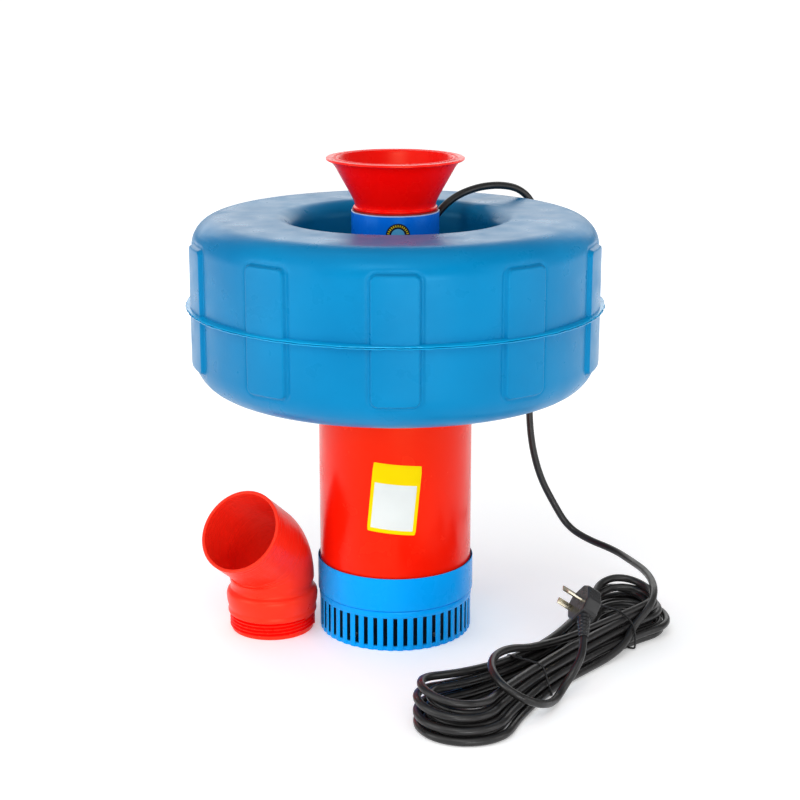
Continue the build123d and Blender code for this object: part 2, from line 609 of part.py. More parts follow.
def discharge_head():
    """Casting that closes the barrel, sits on the float's ledge and gathers the water."""
    spigot_r = BARREL_BORE_R - FIT_GAP
    spigot_z = BARREL_TOP_Z - HEAD_SPIGOT_DEPTH
    bore_r = spigot_r - HEAD_WALL
    throat_z = SLEEVE_Z - 8
    body = turned(
        (bore_r, spigot_z), (spigot_r, spigot_z), (spigot_r, FLOAT_LEDGE_Z), (HEAD_FLANGE_R, FLOAT_LEDGE_Z),
        (HEAD_FLANGE_R, FLANGE_TOP_Z - 2), (HEAD_FLANGE_R - 2, FLANGE_TOP_Z), (BARREL_R, FLANGE_TOP_Z),
        (BARREL_R - 2, FLANGE_TOP_Z + 4), (BARREL_R - 2, DOME_TOP_Z - 2), (BARREL_R - 4, DOME_TOP_Z),
        (BOSS_R, DOME_TOP_Z), (BOSS_R, BOSS_TOP_Z), (BOSS_BORE_R, BOSS_TOP_Z), (BOSS_BORE_R, SLEEVE_Z),
        (SLEEVE_BORE_R, SLEEVE_Z), (SLEEVE_BORE_R, throat_z), (BOSS_R, DOME_TOP_Z - 6),
        (bore_r, FLANGE_TOP_Z + 2),
    )
    body -= rod(CORD_R + FIT_GAP, spigot_z, DOME_TOP_Z, GLAND_PLACE)
    body -= rod(GLAND_THREAD_R, DOME_TOP_Z - GLAND_THREAD_LENGTH, DOME_TOP_Z, GLAND_PLACE)
    hole = rod(FLOAT_SCREW_R + 0.3, FLOAT_LEDGE_Z, FLANGE_TOP_Z)
    return body - around(hole, FLOAT_SCREW_CIRCLE_R, FLOAT_SCREW_COUNT, 30)


def head_gasket():
    """Flat gasket between the barrel's top and the head's flange."""
    return ring(BARREL_R, BARREL_BORE_R, BARREL_TOP_Z, FLOAT_LEDGE_Z)


def outlet_sleeve():
    """Threaded sleeve in the head that takes the horn."""
    thread_top = BOSS_TOP_Z - 1
    return turned(
        (SLEEVE_BORE_R, SLEEVE_Z), (OUTLET_THREAD_R, SLEEVE_Z), (OUTLET_THREAD_R, thread_top),
        (SLEEVE_R, thread_top), (SLEEVE_R, SLEEVE_TOP_Z), (SLEEVE_BORE_R, SLEEVE_TOP_Z),
    )


def horn():
    """Flared outlet: a spigot, a bead that meets the sleeve, a cone and a turned-out lip."""
    bore_r = SPIGOT_R - HORN_WALL
    flare_z = HORN_Z + 7
    kink_z = HORN_Z + 21
    shoulder_z = HORN_TOP_Z - HORN_LIP - 5
    return turned(
        (bore_r, HORN_Z - SPIGOT_DEPTH), (SPIGOT_R, HORN_Z - SPIGOT_DEPTH), (SPIGOT_R, HORN_Z),
        (SLEEVE_R - 2, HORN_Z), (SLEEVE_R - 2, HORN_Z + 2.6), (SPIGOT_R + 0.4, HORN_Z + 3),
        (SPIGOT_R + 1.4, flare_z), (HORN_RIM_R - 21.4, kink_z), (HORN_RIM_R - 8.3, shoulder_z),
        (HORN_RIM_R - 4, HORN_TOP_Z - HORN_LIP), (HORN_RIM_R, HORN_TOP_Z - HORN_LIP), (HORN_RIM_R, HORN_TOP_Z),
        (HORN_MOUTH_R + 1.5, HORN_TOP_Z), (HORN_MOUTH_R, HORN_TOP_Z - 1.5),
        (HORN_RIM_R - 21.4 - HORN_WALL, kink_z), (bore_r, flare_z),
    )


def horn_seal():
    """Rubber ring between the horn's bead and the sleeve."""
    return ring(SLEEVE_R - 1, SLEEVE_BORE_R + 0.4, SLEEVE_TOP_Z, HORN_Z)


def float_outline(inset):
    """Cross-section of the float on its right-hand side, moved inwards by an inset."""
    outer_r = FLOAT_R - inset
    top_z = FLOAT_TOP_Z - inset
    bottom_z = FLOAT_BOTTOM_Z + inset
    well_r = FLOAT_WELL_R + inset
    hole_r = FLOAT_HOLE_R + inset
    ledge_r = HEAD_FLANGE_R + 1.5 + inset
    ledge_z = FLOAT_LEDGE_Z - (FLOAT_LEDGE_DEPTH if inset else 0)
    face = make_face(Polyline(
        (hole_r, bottom_z), (outer_r, bottom_z), (outer_r, top_z), (well_r, top_z),
        (ledge_r, ledge_z), (hole_r, ledge_z), close=True))
    corners = face.vertices()
    top = corners.filter_by(lambda v: abs(v.Y - top_z) < 0.01).sort_by(Axis.X)
    bottom = corners.filter_by(lambda v: abs(v.Y - bottom_z) < 0.01).sort_by(Axis.X)
    face = fillet([bottom[0]], 10 - inset)
    for place, radius in (
        ((outer_r, top_z), FLOAT_TOP_ROUND - inset),
        ((outer_r, bottom_z), FLOAT_BOTTOM_ROUND - inset),
        ((well_r, top_z), FLOAT_WELL_ROUND - inset),
    ):
        corner = face.vertices().sort_by_distance(Vector(*place))[0]
        face = fillet([corner], radius)
    return face


def float_pad(envelope):
    """One raised pad on the float's side, with rounded corners."""
    height = PAD_TOP_Z - PAD_BOTTOM_Z
    middle_z = (PAD_TOP_Z + PAD_BOTTOM_Z) / 2
    face = Plane(origin=(0, 0, middle_z), x_dir=(0, 1, 0), z_dir=(1, 0, 0)) * RectangleRounded(
        PAD_WIDTH, height, PAD_CORNER)
    block = Pos(FLOAT_R - 10, 0, 0) * extrude(face, 10 + PAD_STAND + 1)
    return block & envelope


def float_ring():
    """Hollow blow-moulded ring: rounded shoulders, a flash seam, raised pads and a stepped well."""
    skin = revolve(Plane.XZ * float_outline(0), Axis.Z)
    cavity = revolve(Plane.XZ * float_outline(FLOAT_WALL), Axis.Z)
    envelope = ring(FLOAT_R + PAD_STAND, FLOAT_R - 8, PAD_BOTTOM_Z - 5, PAD_TOP_Z + 5)
    envelope = chamfer(envelope.edges().filter_by(GeomType.CIRCLE).group_by(SortBy.RADIUS)[-1], 4)
    pad = float_pad(envelope)
    for i in range(PAD_COUNT):
        skin += Rot(0, 0, -90 + 360.0 / PAD_COUNT * i) * pad
    half = SEAM_HEIGHT / 2
    seam = turned(
        (FLOAT_R - 1, SEAM_Z - half), (FLOAT_R + SEAM_STAND, SEAM_Z - half / 2),
        (FLOAT_R + SEAM_STAND, SEAM_Z + half / 2), (FLOAT_R - 1, SEAM_Z + half))
    skin = skin + seam - cavity
    hole = rod(FLOAT_SCREW_R, FLOAT_LEDGE_Z - FLOAT_LEDGE_DEPTH + 4, FLOAT_LEDGE_Z)
    return skin - around(hole, FLOAT_SCREW_CIRCLE_R, FLOAT_SCREW_COUNT, 30)


def float_foam():
    """Closed-cell foam that fills the float's shell."""
    return revolve(Plane.XZ * float_outline(FLOAT_WALL + FOAM_GAP), Axis.Z)


def float_screws():
    """Six screws and washers that hold the float to the head's flange."""
    tip_z = FLOAT_LEDGE_Z - FLOAT_LEDGE_DEPTH + 5
    screw = rod(FLOAT_SCREW_R - FIT_GAP, tip_z, FLANGE_TOP_Z) + rod(6, FLANGE_TOP_Z, FLANGE_TOP_Z + 1.2)
    screw += Pos(0, 0, FLANGE_TOP_Z + 1.2) * extrude(RegularPolygon(5, 6), 4)
    return Compound(children=around(screw, FLOAT_SCREW_CIRCLE_R, FLOAT_SCREW_COUNT, 30))


def elbow():
    """Elbow with a threaded foot, a swelling collar, a grooved neck and a pipe bent to the front left."""
    knee = Vector(0, 0, ELBOW_KNEE_Z)
    rise = radians(90 - ELBOW_TURN)
    heading = radians(ELBOW_HEADING)
    arm = Vector(cos(rise) * cos(heading), cos(rise) * sin(heading), sin(rise)) * ELBOW_ARM
    neck_z = ELBOW_COLLAR_TOP_Z - 6
    bent = FilletPolyline((0, 0, neck_z), knee, knee + arm, radius=ELBOW_BEND_R)
    full = FilletPolyline((0, 0, 0), knee, knee + arm, radius=ELBOW_BEND_R)
    pipe = sweep(Plane(origin=(0, 0, neck_z)) * Circle(ELBOW_PIPE_R), path=bent)
    bore = sweep(Plane.XY * Circle(ELBOW_PIPE_R - ELBOW_WALL), path=full)
    foot = OUTLET_THREAD_LENGTH
    collar = turned(
        (0, 0), (OUTLET_THREAD_R, 0), (OUTLET_THREAD_R, foot), (ELBOW_COLLAR_R - 1, foot),
        (ELBOW_COLLAR_R, foot + 4), (ELBOW_COLLAR_R, ELBOW_COLLAR_TOP_Z - 11), (ELBOW_PIPE_R + 1, ELBOW_COLLAR_TOP_Z),
        (0, ELBOW_COLLAR_TOP_Z),
    )
    groove_z = ELBOW_COLLAR_TOP_Z + 1
    floor_r = ELBOW_PIPE_R - ELBOW_GROOVE_DEPTH
    groove = turned(
        (floor_r, groove_z + 1), (ELBOW_PIPE_R + 2, groove_z - 1), (ELBOW_PIPE_R + 2, groove_z + ELBOW_GROOVE_WIDTH + 1),
        (floor_r, groove_z + ELBOW_GROOVE_WIDTH - 1),
    )
    return Pos(ELBOW_PLACE[0], ELBOW_PLACE[1], 0) * (pipe + collar - groove - bore)


def gland_body():
    """Lower half of the cable gland, screwed into the head."""
    foot_z = DOME_TOP_Z - GLAND_THREAD_LENGTH
    collar = Pos(GLAND_PLACE[0], GLAND_PLACE[1], DOME_TOP_Z) * extrude(RegularPolygon(10.5, 6), GLAND_FLANGE)
    body = rod(GLAND_THREAD_R - FIT_GAP, foot_z, DOME_TOP_Z, GLAND_PLACE) + collar
    return body - rod(CORD_R + FIT_GAP, foot_z, GLAND_NUT_Z, GLAND_PLACE)


def gland_nut():
    """Domed nut that squeezes the gland's rubber on the cable."""
    bore_r = CORD_R + FIT_GAP
    nut = turned(
        (bore_r, GLAND_NUT_Z), (9.3, GLAND_NUT_Z), (9.3, GLAND_NUT_Z + 7), (5.6, GLAND_TOP_Z), (bore_r, GLAND_TOP_Z))
    return Pos(GLAND_PLACE[0], GLAND_PLACE[1], 0) * nut


def inner_lead():
    """Cable inside the head, from the motor's upper cover to the gland."""
    angle = radians(GLAND_ANGLE)
    low = (LEAD_EXIT_R * cos(angle), LEAD_EXIT_R * sin(angle))
    lead_top = CAN_TOP_Z + UPPER_COVER + 4
    return tube([
        (*low, CAN_TOP_Z - 8), (*low, lead_top + 12), (*GLAND_PLACE, FLANGE_TOP_Z - 11), (*GLAND_PLACE, GLAND_TOP_Z),
    ], CORD_R)


def supply_cord():
    """Cable from the gland over the float and down to the hank."""
    return tube([(*GLAND_PLACE, GLAND_TOP_Z)] + CORD_ROUTE, CORD_R)


def cord_tail():
    """Cable from the hank to the plug."""
    along = Vector(*PLUG_HEADING).normalized()
    lead_in = Vector(*PLUG_FOOT) - along * TAIL_LEAD_IN
    return tube(TAIL_ROUTE + [tuple(lead_in), PLUG_FOOT], CORD_R)


def hank_outline():
    """Outline of the hank from above: two round ends and a waist where the ties are."""
    near = HANK_NEAR_R - HANK_HALF_LENGTH
    far = HANK_HALF_LENGTH - HANK_FAR_R
    lines = [
        ThreePointArc((near, HANK_NEAR_R), (near - HANK_NEAR_R, 0), (near, -HANK_NEAR_R)),
        ThreePointArc((near, -HANK_NEAR_R), (0, -HANK_WAIST_R), (far, -HANK_FAR_R)),
        ThreePointArc((far, -HANK_FAR_R), (far + HANK_FAR_R, 0), (far, HANK_FAR_R)),
        ThreePointArc((far, HANK_FAR_R), (0, HANK_WAIST_R), (near, HANK_NEAR_R)),
    ]
    return make_face(lines)


def cord_hank():
    """Outer shape of the folded cable that lies beside the pump."""
    block = extrude(hank_outline(), HANK_HEIGHT)
    block = fillet(block.edges().group_by(Axis.Z)[-1], HANK_ROUND)
    for place in TIE_PLACES:
        block -= tie_loop(place)
    return Pos(HANK_PLACE[0], HANK_PLACE[1], 0) * Rot(0, 0, HANK_HEADING) * block


def tie_loop(place):
    """Thin tie let into the hank's surface, in the hank's own frame."""
    near = HANK_NEAR_R - HANK_HALF_LENGTH
    far = HANK_HALF_LENGTH - HANK_FAR_R
    end, end_r = (near, HANK_NEAR_R) if place < 0 else (far, HANK_FAR_R)
    half = HANK_WAIST_R + (end_r - HANK_WAIST_R) * (place / end) ** 2 + 1
    middle = Plane(origin=(place - TIE_R, 0, HANK_HEIGHT / 2), x_dir=(0, 1, 0), z_dir=(1, 0, 0))
    loop = RectangleRounded(2 * half, HANK_HEIGHT, HANK_ROUND)
    loop -= RectangleRounded(2 * (half - 2 * TIE_R), HANK_HEIGHT - 4 * TIE_R, HANK_ROUND - 2 * TIE_R)
    return extrude(middle * loop, 2 * TIE_R)


def hank_tie(place):
    """Thin tie round the hank's waist."""
    return Pos(HANK_PLACE[0], HANK_PLACE[1], 0) * Rot(0, 0, HANK_HEADING) * tie_loop(place)


def plug_frame():
    """Plane at the plug's cable end: z along the plug, x along the pins."""
    along = Vector(*PLUG_HEADING).normalized()
    pins = Vector(*PIN_HEADING)
    pins = (pins - along * pins.dot(along)).normalized()
    return Plane(origin=PLUG_FOOT, x_dir=pins, z_dir=along)


def plug_relief():
    """Ribbed rubber sleeve between the cable and the plug."""
    ribs = 6
    step = RELIEF_LENGTH / (2 * ribs)
    outline = [(0, 0)]
    for i in range(2 * ribs + 1):
        swell = CORD_R + 1 + (RELIEF_R - CORD_R - 1) * i / (2 * ribs)
        outline.append((swell - (0.8 if i % 2 else 0.0), step * i))
    outline.append((0, RELIEF_LENGTH))
    return plug_frame() * turned(*outline)


def plug_body():
    """Moulded flat plug."""
    side = make_face(Polyline(
        (-PLUG_WIDTH / 2 + 8, 0), (PLUG_WIDTH / 2 - 8, 0), (PLUG_WIDTH / 2, 12), (PLUG_WIDTH / 2, PLUG_LENGTH - 8),
        (PLUG_WIDTH / 2 - 8, PLUG_LENGTH), (-PLUG_WIDTH / 2 + 8, PLUG_LENGTH), (-PLUG_WIDTH / 2, PLUG_LENGTH - 8),
        (-PLUG_WIDTH / 2, 12), close=True))
    side = fillet(side.vertices(), 5)
    block = extrude(Plane.YZ * side, PLUG_THICKNESS)
    block = fillet(block.edges().group_by(Axis.X)[-1] + block.edges().group_by(Axis.X)[0], 2)
    return plug_frame() * Pos(-PLUG_THICKNESS / 2, 0, RELIEF_LENGTH) * block


def plug_pins():
    """Three flat pins: the longer earth pin and two set aslant."""
    blade = Box(PIN_LENGTH, PIN_THICKNESS, PIN_WIDTH, align=(Align.MIN, Align.CENTER, Align.CENTER))
    middle = RELIEF_LENGTH + PLUG_LENGTH / 2
    face = Pos(PLUG_THICKNESS / 2, 0, middle)
    earth = face * Pos(0, 0, PIN_SPREAD) * blade
    pair = [face * Pos(0, side * PIN_SPREAD, -PIN_SPREAD / 2) * Rot(side * 30, 0, 0) * blade for side in (-1, 1)]
    return plug_frame() * Compound(children=[earth] + pair)


NODES = {
    "strainer": strainer,
    "strainer_screws": strainer_screws,
    "suction_plate": suction_plate,
    "barrel": barrel,
    "diffuser": diffuser,
    "diffuser_screws": diffuser_screws,
    "impeller": impeller,
    "impeller_key": impeller_key,
    "impeller_nut": impeller_nut,
    "lower_cover": lower_cover,
    "motor_can": motor_can,
    "stator_core": stator_core,
    "winding_lower": lambda: winding(STATOR_Z - WINDING_HEIGHT),
    "winding_upper": lambda: winding(STATOR_TOP_Z),
    "upper_bracket": upper_bracket,
    "tie_bolts": tie_bolts,
    "capacitor": capacitor,
    "capacitor_strap": capacitor_strap,
    "upper_cover": upper_cover,
    "cover_screws": cover_screws,
    "bearing_outer_lower": lambda: bearing_outer(LOWER_BEARING_Z),
    "bearing_outer_upper": lambda: bearing_outer(UPPER_BEARING_Z),
    "bearing_inner_lower": lambda: bearing_inner(LOWER_BEARING_Z),
    "bearing_inner_upper": lambda: bearing_inner(UPPER_BEARING_Z),
    "ball_cage_lower": lambda: ball_cage(LOWER_BEARING_Z),
    "ball_cage_upper": lambda: ball_cage(UPPER_BEARING_Z),
    "seal_seat": seal_seat,
    "seal_rotor": seal_rotor,
    "seal_bellows": seal_bellows,
    "shaft": shaft,
    "rotor_core": rotor_core,
    "rotor_end_rings": rotor_end_rings,
    "discharge_head": discharge_head,
    "head_gasket": head_gasket,
    "outlet_sleeve": outlet_sleeve,
    "horn": horn,
    "horn_seal": horn_seal,
    "float_ring": float_ring,
    "float_foam": float_foam,
    "float_screws": float_screws,
    "elbow": elbow,
    "gland_body": gland_body,
    "gland_nut": gland_nut,
    "inner_lead": inner_lead,
    "supply_cord": supply_cord,
    "cord_hank": cord_hank,
    "hank_tie_near": lambda: hank_tie(TIE_PLACES[0]),
    "hank_tie_far": lambda: hank_tie(TIE_PLACES[1]),
    "cord_tail": cord_tail,
    "plug_relief": plug_relief,
    "plug_body": plug_body,
    "plug_pins": plug_pins,
}


def main():
    """Writes each piece to its own file."""
    os.makedirs("parts", exist_ok=True)
    for name, make in NODES.items():
        shape = make()
        export_step(shape if isinstance(shape, Compound) else Compound(children=[shape]), f"parts/{name}.step")


main()
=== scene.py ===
"""Looks of a floating pond aerator: ring float, submersible pump, horn, loose elbow and mains cable.

Lengths in the classes are in millimetres, in the part's own frame, unless a docstring says metres.
"""

import json
import logging
import math
import random
from abc import ABC, abstractmethod
from dataclasses import dataclass, field
from enum import Enum
from typing import Iterable, Iterator, NamedTuple, Sequence

import bmesh
import bpy
from mathutils import Matrix, Vector

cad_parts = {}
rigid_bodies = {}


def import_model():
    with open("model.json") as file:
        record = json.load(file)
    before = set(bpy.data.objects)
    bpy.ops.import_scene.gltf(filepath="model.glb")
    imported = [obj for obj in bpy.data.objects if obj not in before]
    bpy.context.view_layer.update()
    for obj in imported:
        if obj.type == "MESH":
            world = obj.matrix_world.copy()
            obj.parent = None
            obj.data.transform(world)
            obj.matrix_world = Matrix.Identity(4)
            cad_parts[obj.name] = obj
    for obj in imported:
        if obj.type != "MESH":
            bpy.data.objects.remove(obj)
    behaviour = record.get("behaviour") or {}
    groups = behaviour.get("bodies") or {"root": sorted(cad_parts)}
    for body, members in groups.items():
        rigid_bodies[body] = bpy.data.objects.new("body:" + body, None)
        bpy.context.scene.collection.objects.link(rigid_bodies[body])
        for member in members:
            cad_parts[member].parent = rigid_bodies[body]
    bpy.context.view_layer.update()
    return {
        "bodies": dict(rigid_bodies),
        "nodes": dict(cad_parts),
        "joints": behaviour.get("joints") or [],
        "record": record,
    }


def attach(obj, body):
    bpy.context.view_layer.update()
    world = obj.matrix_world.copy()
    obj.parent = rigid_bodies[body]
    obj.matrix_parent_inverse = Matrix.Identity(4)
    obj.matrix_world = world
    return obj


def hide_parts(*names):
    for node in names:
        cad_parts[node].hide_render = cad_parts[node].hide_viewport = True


LOG = logging.getLogger("pond_aerator")
MM = 0.001
ORIGIN = (0.0, 0.0, 0.0)
UP = (0.0, 0.0, 1.0)
SAME_PLACE = 2e-6
Colour = tuple[float, float, float]
Corner = tuple[float, float, float]
Point = tuple[float, float]
Mesh = bmesh.types.BMesh
Socket = bpy.types.NodeSocket


class Grain(Enum):
    """Direction in which a metal's fine marks run."""

    ALL_WAYS = (1.0, 1.0, 1.0)
    ROUND_THE_AXIS = (0.15, 0.15, 6.0)
    ALONG_THE_AXIS = (6.0, 6.0, 0.15)


class NodeDesk:
    """Small helper that lays out one material's nodes."""

    def __init__(self, name: str) -> None:
        """Starts a node material that holds only its shader.

        Args:
            name: The material's name.
        """
        self.material = bpy.data.materials.new(name)
        self.material.use_nodes = True
        self.tree = self.material.node_tree
        self.tree.nodes.clear()
        self.shader = self.tree.nodes.new("ShaderNodeBsdfPrincipled")
        self.place = self.tree.nodes.new("ShaderNodeTexCoord").outputs["Object"]
        self.add("ShaderNodeOutputMaterial", {"Surface": self.shader.outputs["BSDF"]})

    def feed(self, node: bpy.types.Node, inputs: dict) -> None:
        """Links sockets to a node's inputs and sets constants straight on them.

        Args:
            node: The node.
            inputs: A socket or a constant for each input's name or number.
        """
        for key, value in inputs.items():
            if isinstance(value, Socket):
                self.tree.links.new(value, node.inputs[key])
            else:
                node.inputs[key].default_value = value

    def add(self, kind: str, inputs: dict, **options: str) -> bpy.types.Node:
        """Adds a node.

        Args:
            kind: Its type.
            inputs: A socket or a constant for each input's name or number.
            **options: Its own settings, such as an operation.

        Returns:
            The node.
        """
        node = self.tree.nodes.new(kind)
        for key, value in options.items():
            setattr(node, key, value)
        self.feed(node, inputs)
        return node

    def stretched(self, scale: Corner) -> Socket:
        """Returns the object coordinates scaled along each axis."""
        return self.add("ShaderNodeMapping", {"Scale": scale, "Vector": self.place}).outputs["Vector"]

    def height(self) -> Socket:
        """Returns the height over the floor, in metres."""
        return self.add("ShaderNodeSeparateXYZ", {"Vector": self.place}).outputs["Z"]

    def noise(self, scale: float, detail: float = 4.0, place: Socket | None = None) -> Socket:
        """Returns a noise value.

        Args:
            scale: How many features fit in a metre, roughly.
            detail: Octaves.
            place: Coordinates, or None for the object's own.

        Returns:
            The noise's value socket.
        """
        inputs = {"Vector": place or self.place, "Scale": scale, "Detail": detail}
        return self.add("ShaderNodeTexNoise", inputs).outputs["Fac"]

    def cells(self, scale: float) -> Socket:
        """Returns the distance to the nearest cell centre of a cell pattern."""
        return self.add("ShaderNodeTexVoronoi", {"Vector": self.place, "Scale": scale}).outputs["Distance"]

    def layers(self, scale: float, distortion: float = 0.0) -> Socket:
        """Returns even level bands.

        Args:
            scale: Bands in a metre, roughly.
            distortion: How much the bands wander.

        Returns:
            The wave's value socket.
        """
        inputs = {"Vector": self.place, "Scale": scale, "Distortion": distortion}
        return self.add("ShaderNodeTexWave", inputs, wave_type="BANDS", bands_direction="Z").outputs["Fac"]

    def rings(self, axis: Corner, scale: float, above: float, fade: float = 0.03) -> Socket:
        """Returns uneven fine rings square to a direction, as a sizing tool leaves them.

        Args:
            axis: The direction.
            scale: Rings in a metre, roughly.
            above: Height in metres over which the rings set in.
            fade: Height in metres that they take to reach their full depth.

        Returns:
            The rings' value socket.
        """
        along = self.add("ShaderNodeVectorMath", {0: self.place, 1: axis}, operation="DOT_PRODUCT")
        inputs = {"W": along.outputs["Value"], "Scale": scale, "Detail": 1.0}
        marks = self.add("ShaderNodeTexNoise", inputs, noise_dimensions="1D").outputs["Fac"]
        share = self.span(self.height(), 0.0, 1.0, above, above + fade)
        return self.add("ShaderNodeMath", {0: marks, 1: share}, operation="MULTIPLY").outputs["Value"]

    def span(self, value: Socket, low: float, high: float, start: float = 0.3, end: float = 0.7) -> Socket:
        """Maps a value's middle range onto another range.

        Args:
            value: What is mapped.
            low: Result at the start.
            high: Result at the end.
            start: Value that gives low.
            end: Value that gives high.

        Returns:
            The mapped value.
        """
        inputs = {"Value": value, "From Min": start, "From Max": end, "To Min": low, "To Max": high}
        return self.add("ShaderNodeMapRange", inputs).outputs["Result"]

    def mixed(self, share: Socket, first: Colour | Socket, second: Colour | Socket) -> Socket:
        """Mixes two colours by a share.

        Args:
            share: 0 for the first colour, 1 for the second.
            first: Linear colour, or a socket that gives one.
            second: The same.

        Returns:
            The mixed colour.
        """
        node = self.add("ShaderNodeMix", {"Factor": share}, data_type="RGBA")
        for socket, tone in zip([s for s in node.inputs if s.type == "RGBA"], (first, second)):
            if isinstance(tone, Socket):
                self.tree.links.new(tone, socket)
            else:
                socket.default_value = (*tone, 1.0)
        return next(s for s in node.outputs if s.type == "RGBA")

    def mottled(self, first: Colour, second: Colour, scale: float, detail: float,
                place: Socket | None = None) -> Socket:
        """Mixes two colours by a noise.

        Args:
            first: Linear colour where the noise is low.
            second: Linear colour where it is high.
            scale: The noise's features in a metre, roughly.
            detail: Its octaves.
            place: Coordinates, or None for the object's own.

        Returns:
            The mixed colour.
        """
        return self.mixed(self.span(self.noise(scale, detail, place), 0.0, 1.0), first, second)

    def dressed(self, colour: Socket, roughness: Socket | float, bumps: Sequence[tuple[Socket, float]] = (),
                tint: Colour | None = None, **constants: float) -> bpy.types.Material:
        """Links the shader's inputs, which ends the material.

        Args:
            colour: Base colour.
            roughness: Roughness, as a socket or a constant.
            bumps: Pairs of a height socket and its depth in millimetres.
            tint: Tint of the reflections, or None for none.
            **constants: The shader's other inputs, with underscores for spaces.

        Returns:
            The material.
        """
        inputs = {key.replace("_", " "): value for key, value in constants.items()}
        if tint is not None:
            inputs["Specular Tint"] = (*tint, 1.0)
        self.feed(self.shader, {"Base Color": colour, "Roughness": roughness, **inputs})
        below = {}
        for height, depth in bumps:
            settings = {"Distance": depth * MM, "Strength": 1.0, "Height": height, **below}
            below = {"Normal": self.add("ShaderNodeBump", settings).outputs["Normal"]}
        self.feed(self.shader, below)
        return self.material


@dataclass(frozen=True)
class Finish(ABC):
    """What every finish has: a name and two tones."""

    name: str
    light: Colour
    deep: Colour

    @abstractmethod
    def material(self) -> bpy.types.Material:
        """Builds the node material."""


@dataclass(frozen=True)
class MouldedPlastic(Finish):
    """Moulded plastic: slight mottle, a soft skin texture and long shallow waves, and on request a painted
    highlight: paler colour above a given height.
    """

    gloss: float
    skin_depth: float = 0.02
    skin_scale: float = 420.0
    wave_depth: float = 0.0
    wave_scale: float = 16.0
    shine: float = 0.3
    tint: Colour = (1.0, 1.0, 1.0)
    # Painted highlight: above this height, in metres, the colour turns pale, standing in for the highlight
    # along a top rim.
    rim_highlight_above: float | None = None
    rim_highlight_share: float = 0.75
    rim_highlight_blend: float = 0.0004
    ring_axis: Corner | None = None
    ring_depth: float = 0.5
    ring_scale: float = 420.0
    rings_above: float = 0.060

    def material(self) -> bpy.types.Material:
        """Builds the node material."""
        desk = NodeDesk(self.name)
        body = desk.mottled(self.light, self.deep, 9.0, 5.0)
        # Painted highlight: a pale band over the top rim.
        if self.rim_highlight_above is not None:
            low, high = self.rim_highlight_above - self.rim_highlight_blend, self.rim_highlight_above + self.rim_highlight_blend
            body = desk.mixed(desk.span(desk.height(), 0.0, self.rim_highlight_share, low, high), body, RIM_HIGHLIGHT_BLUE)
        bumps = [(desk.noise(self.skin_scale, 1.0), self.skin_depth)]
        if self.wave_depth:
            bumps.append((desk.noise(self.wave_scale, 1.0), self.wave_depth))
        if self.ring_axis is not None:
            bumps.append((desk.rings(self.ring_axis, self.ring_scale, self.rings_above), self.ring_depth))
        gloss = desk.span(desk.noise(38.0, 5.0), self.gloss - 0.06, self.gloss + 0.08)
        return desk.dressed(body, gloss, bumps, self.tint, IOR=1.5, Specular_IOR_Level=self.shine)


@dataclass(frozen=True)
class GlossEnamel(Finish):
    """Sprayed enamel: a hard coat with a fine orange-peel and long waves, somewhat duller in places."""

    gloss: float
    tint: Colour = (1.0, 0.38, 0.14)

    def material(self) -> bpy.types.Material:
        """Builds the node material."""
        desk = NodeDesk(self.name)
        gloss = desk.span(desk.noise(35.0, 6.0), self.gloss, self.gloss + 0.12)
        bumps = [(desk.noise(70.0, 0.0), 0.012), (desk.noise(12.0, 0.0), 0.18)]
        return desk.dressed(desk.mottled(self.light, self.deep, 6.0, 3.0), gloss, bumps, self.tint, IOR=1.5,
                            Specular_IOR_Level=0.42)


@dataclass(frozen=True)
class PaintedCasting(Finish):
    """Painted casting with a sandy skin."""

    def material(self) -> bpy.types.Material:
        """Builds the node material."""
        desk = NodeDesk(self.name)
        bumps = [(desk.noise(700.0, 4.0), 0.12), (desk.cells(320.0), 0.06)]
        return desk.dressed(desk.mottled(self.light, self.deep, 40.0, 6.0),
                            desk.span(desk.noise(120.0, 4.0), 0.42, 0.62), bumps, Specular_IOR_Level=0.2)


@dataclass(frozen=True)
class BareMetal(Finish):
    """Bare metal with fine marks in one direction."""

    gloss: float
    grain: Grain = Grain.ALL_WAYS

    def material(self) -> bpy.types.Material:
        """Builds the node material."""
        desk = NodeDesk(self.name)
        place = desk.stretched(self.grain.value)
        gloss = desk.span(desk.noise(300.0, 4.0, place), self.gloss - 0.05, self.gloss + 0.12)
        return desk.dressed(desk.mottled(self.light, self.deep, 90.0, 5.0, place), gloss,
                            [(desk.noise(800.0, 2.0, place), 0.015)], Metallic=1.0)


@dataclass(frozen=True)
class StackedSheet(Finish):
    """Edges of a stack of thin electrical sheets."""

    def material(self) -> bpy.types.Material:
        """Builds the node material."""
        desk = NodeDesk(self.name)
        sheets = desk.layers(320.0)
        return desk.dressed(desk.mixed(sheets, self.light, self.deep),
                            desk.span(desk.noise(120.0), 0.35, 0.5), [(sheets, 0.06)], Metallic=0.9)


@dataclass(frozen=True)
class WoundWire(Finish):
    """Enamelled wire laid side by side."""

    def material(self) -> bpy.types.Material:
        """Builds the node material."""
        desk = NodeDesk(self.name)
        wires = desk.layers(260.0, 2.0)
        return desk.dressed(desk.mixed(wires, self.deep, self.light),
                            desk.span(desk.noise(200.0), 0.25, 0.4), [(wires, 0.3)], Metallic=0.8)


@dataclass(frozen=True)
class FoamFill(Finish):
    """Closed-cell foam."""

    def material(self) -> bpy.types.Material:
        """Builds the node material."""
        desk = NodeDesk(self.name)
        bubbles = desk.cells(420.0)
        body = desk.mixed(desk.span(bubbles, 0.0, 1.0, 0.1, 0.6), self.deep, self.light)
        return desk.dressed(body, desk.span(desk.noise(50.0), 0.8, 0.95), [(bubbles, 0.5)])


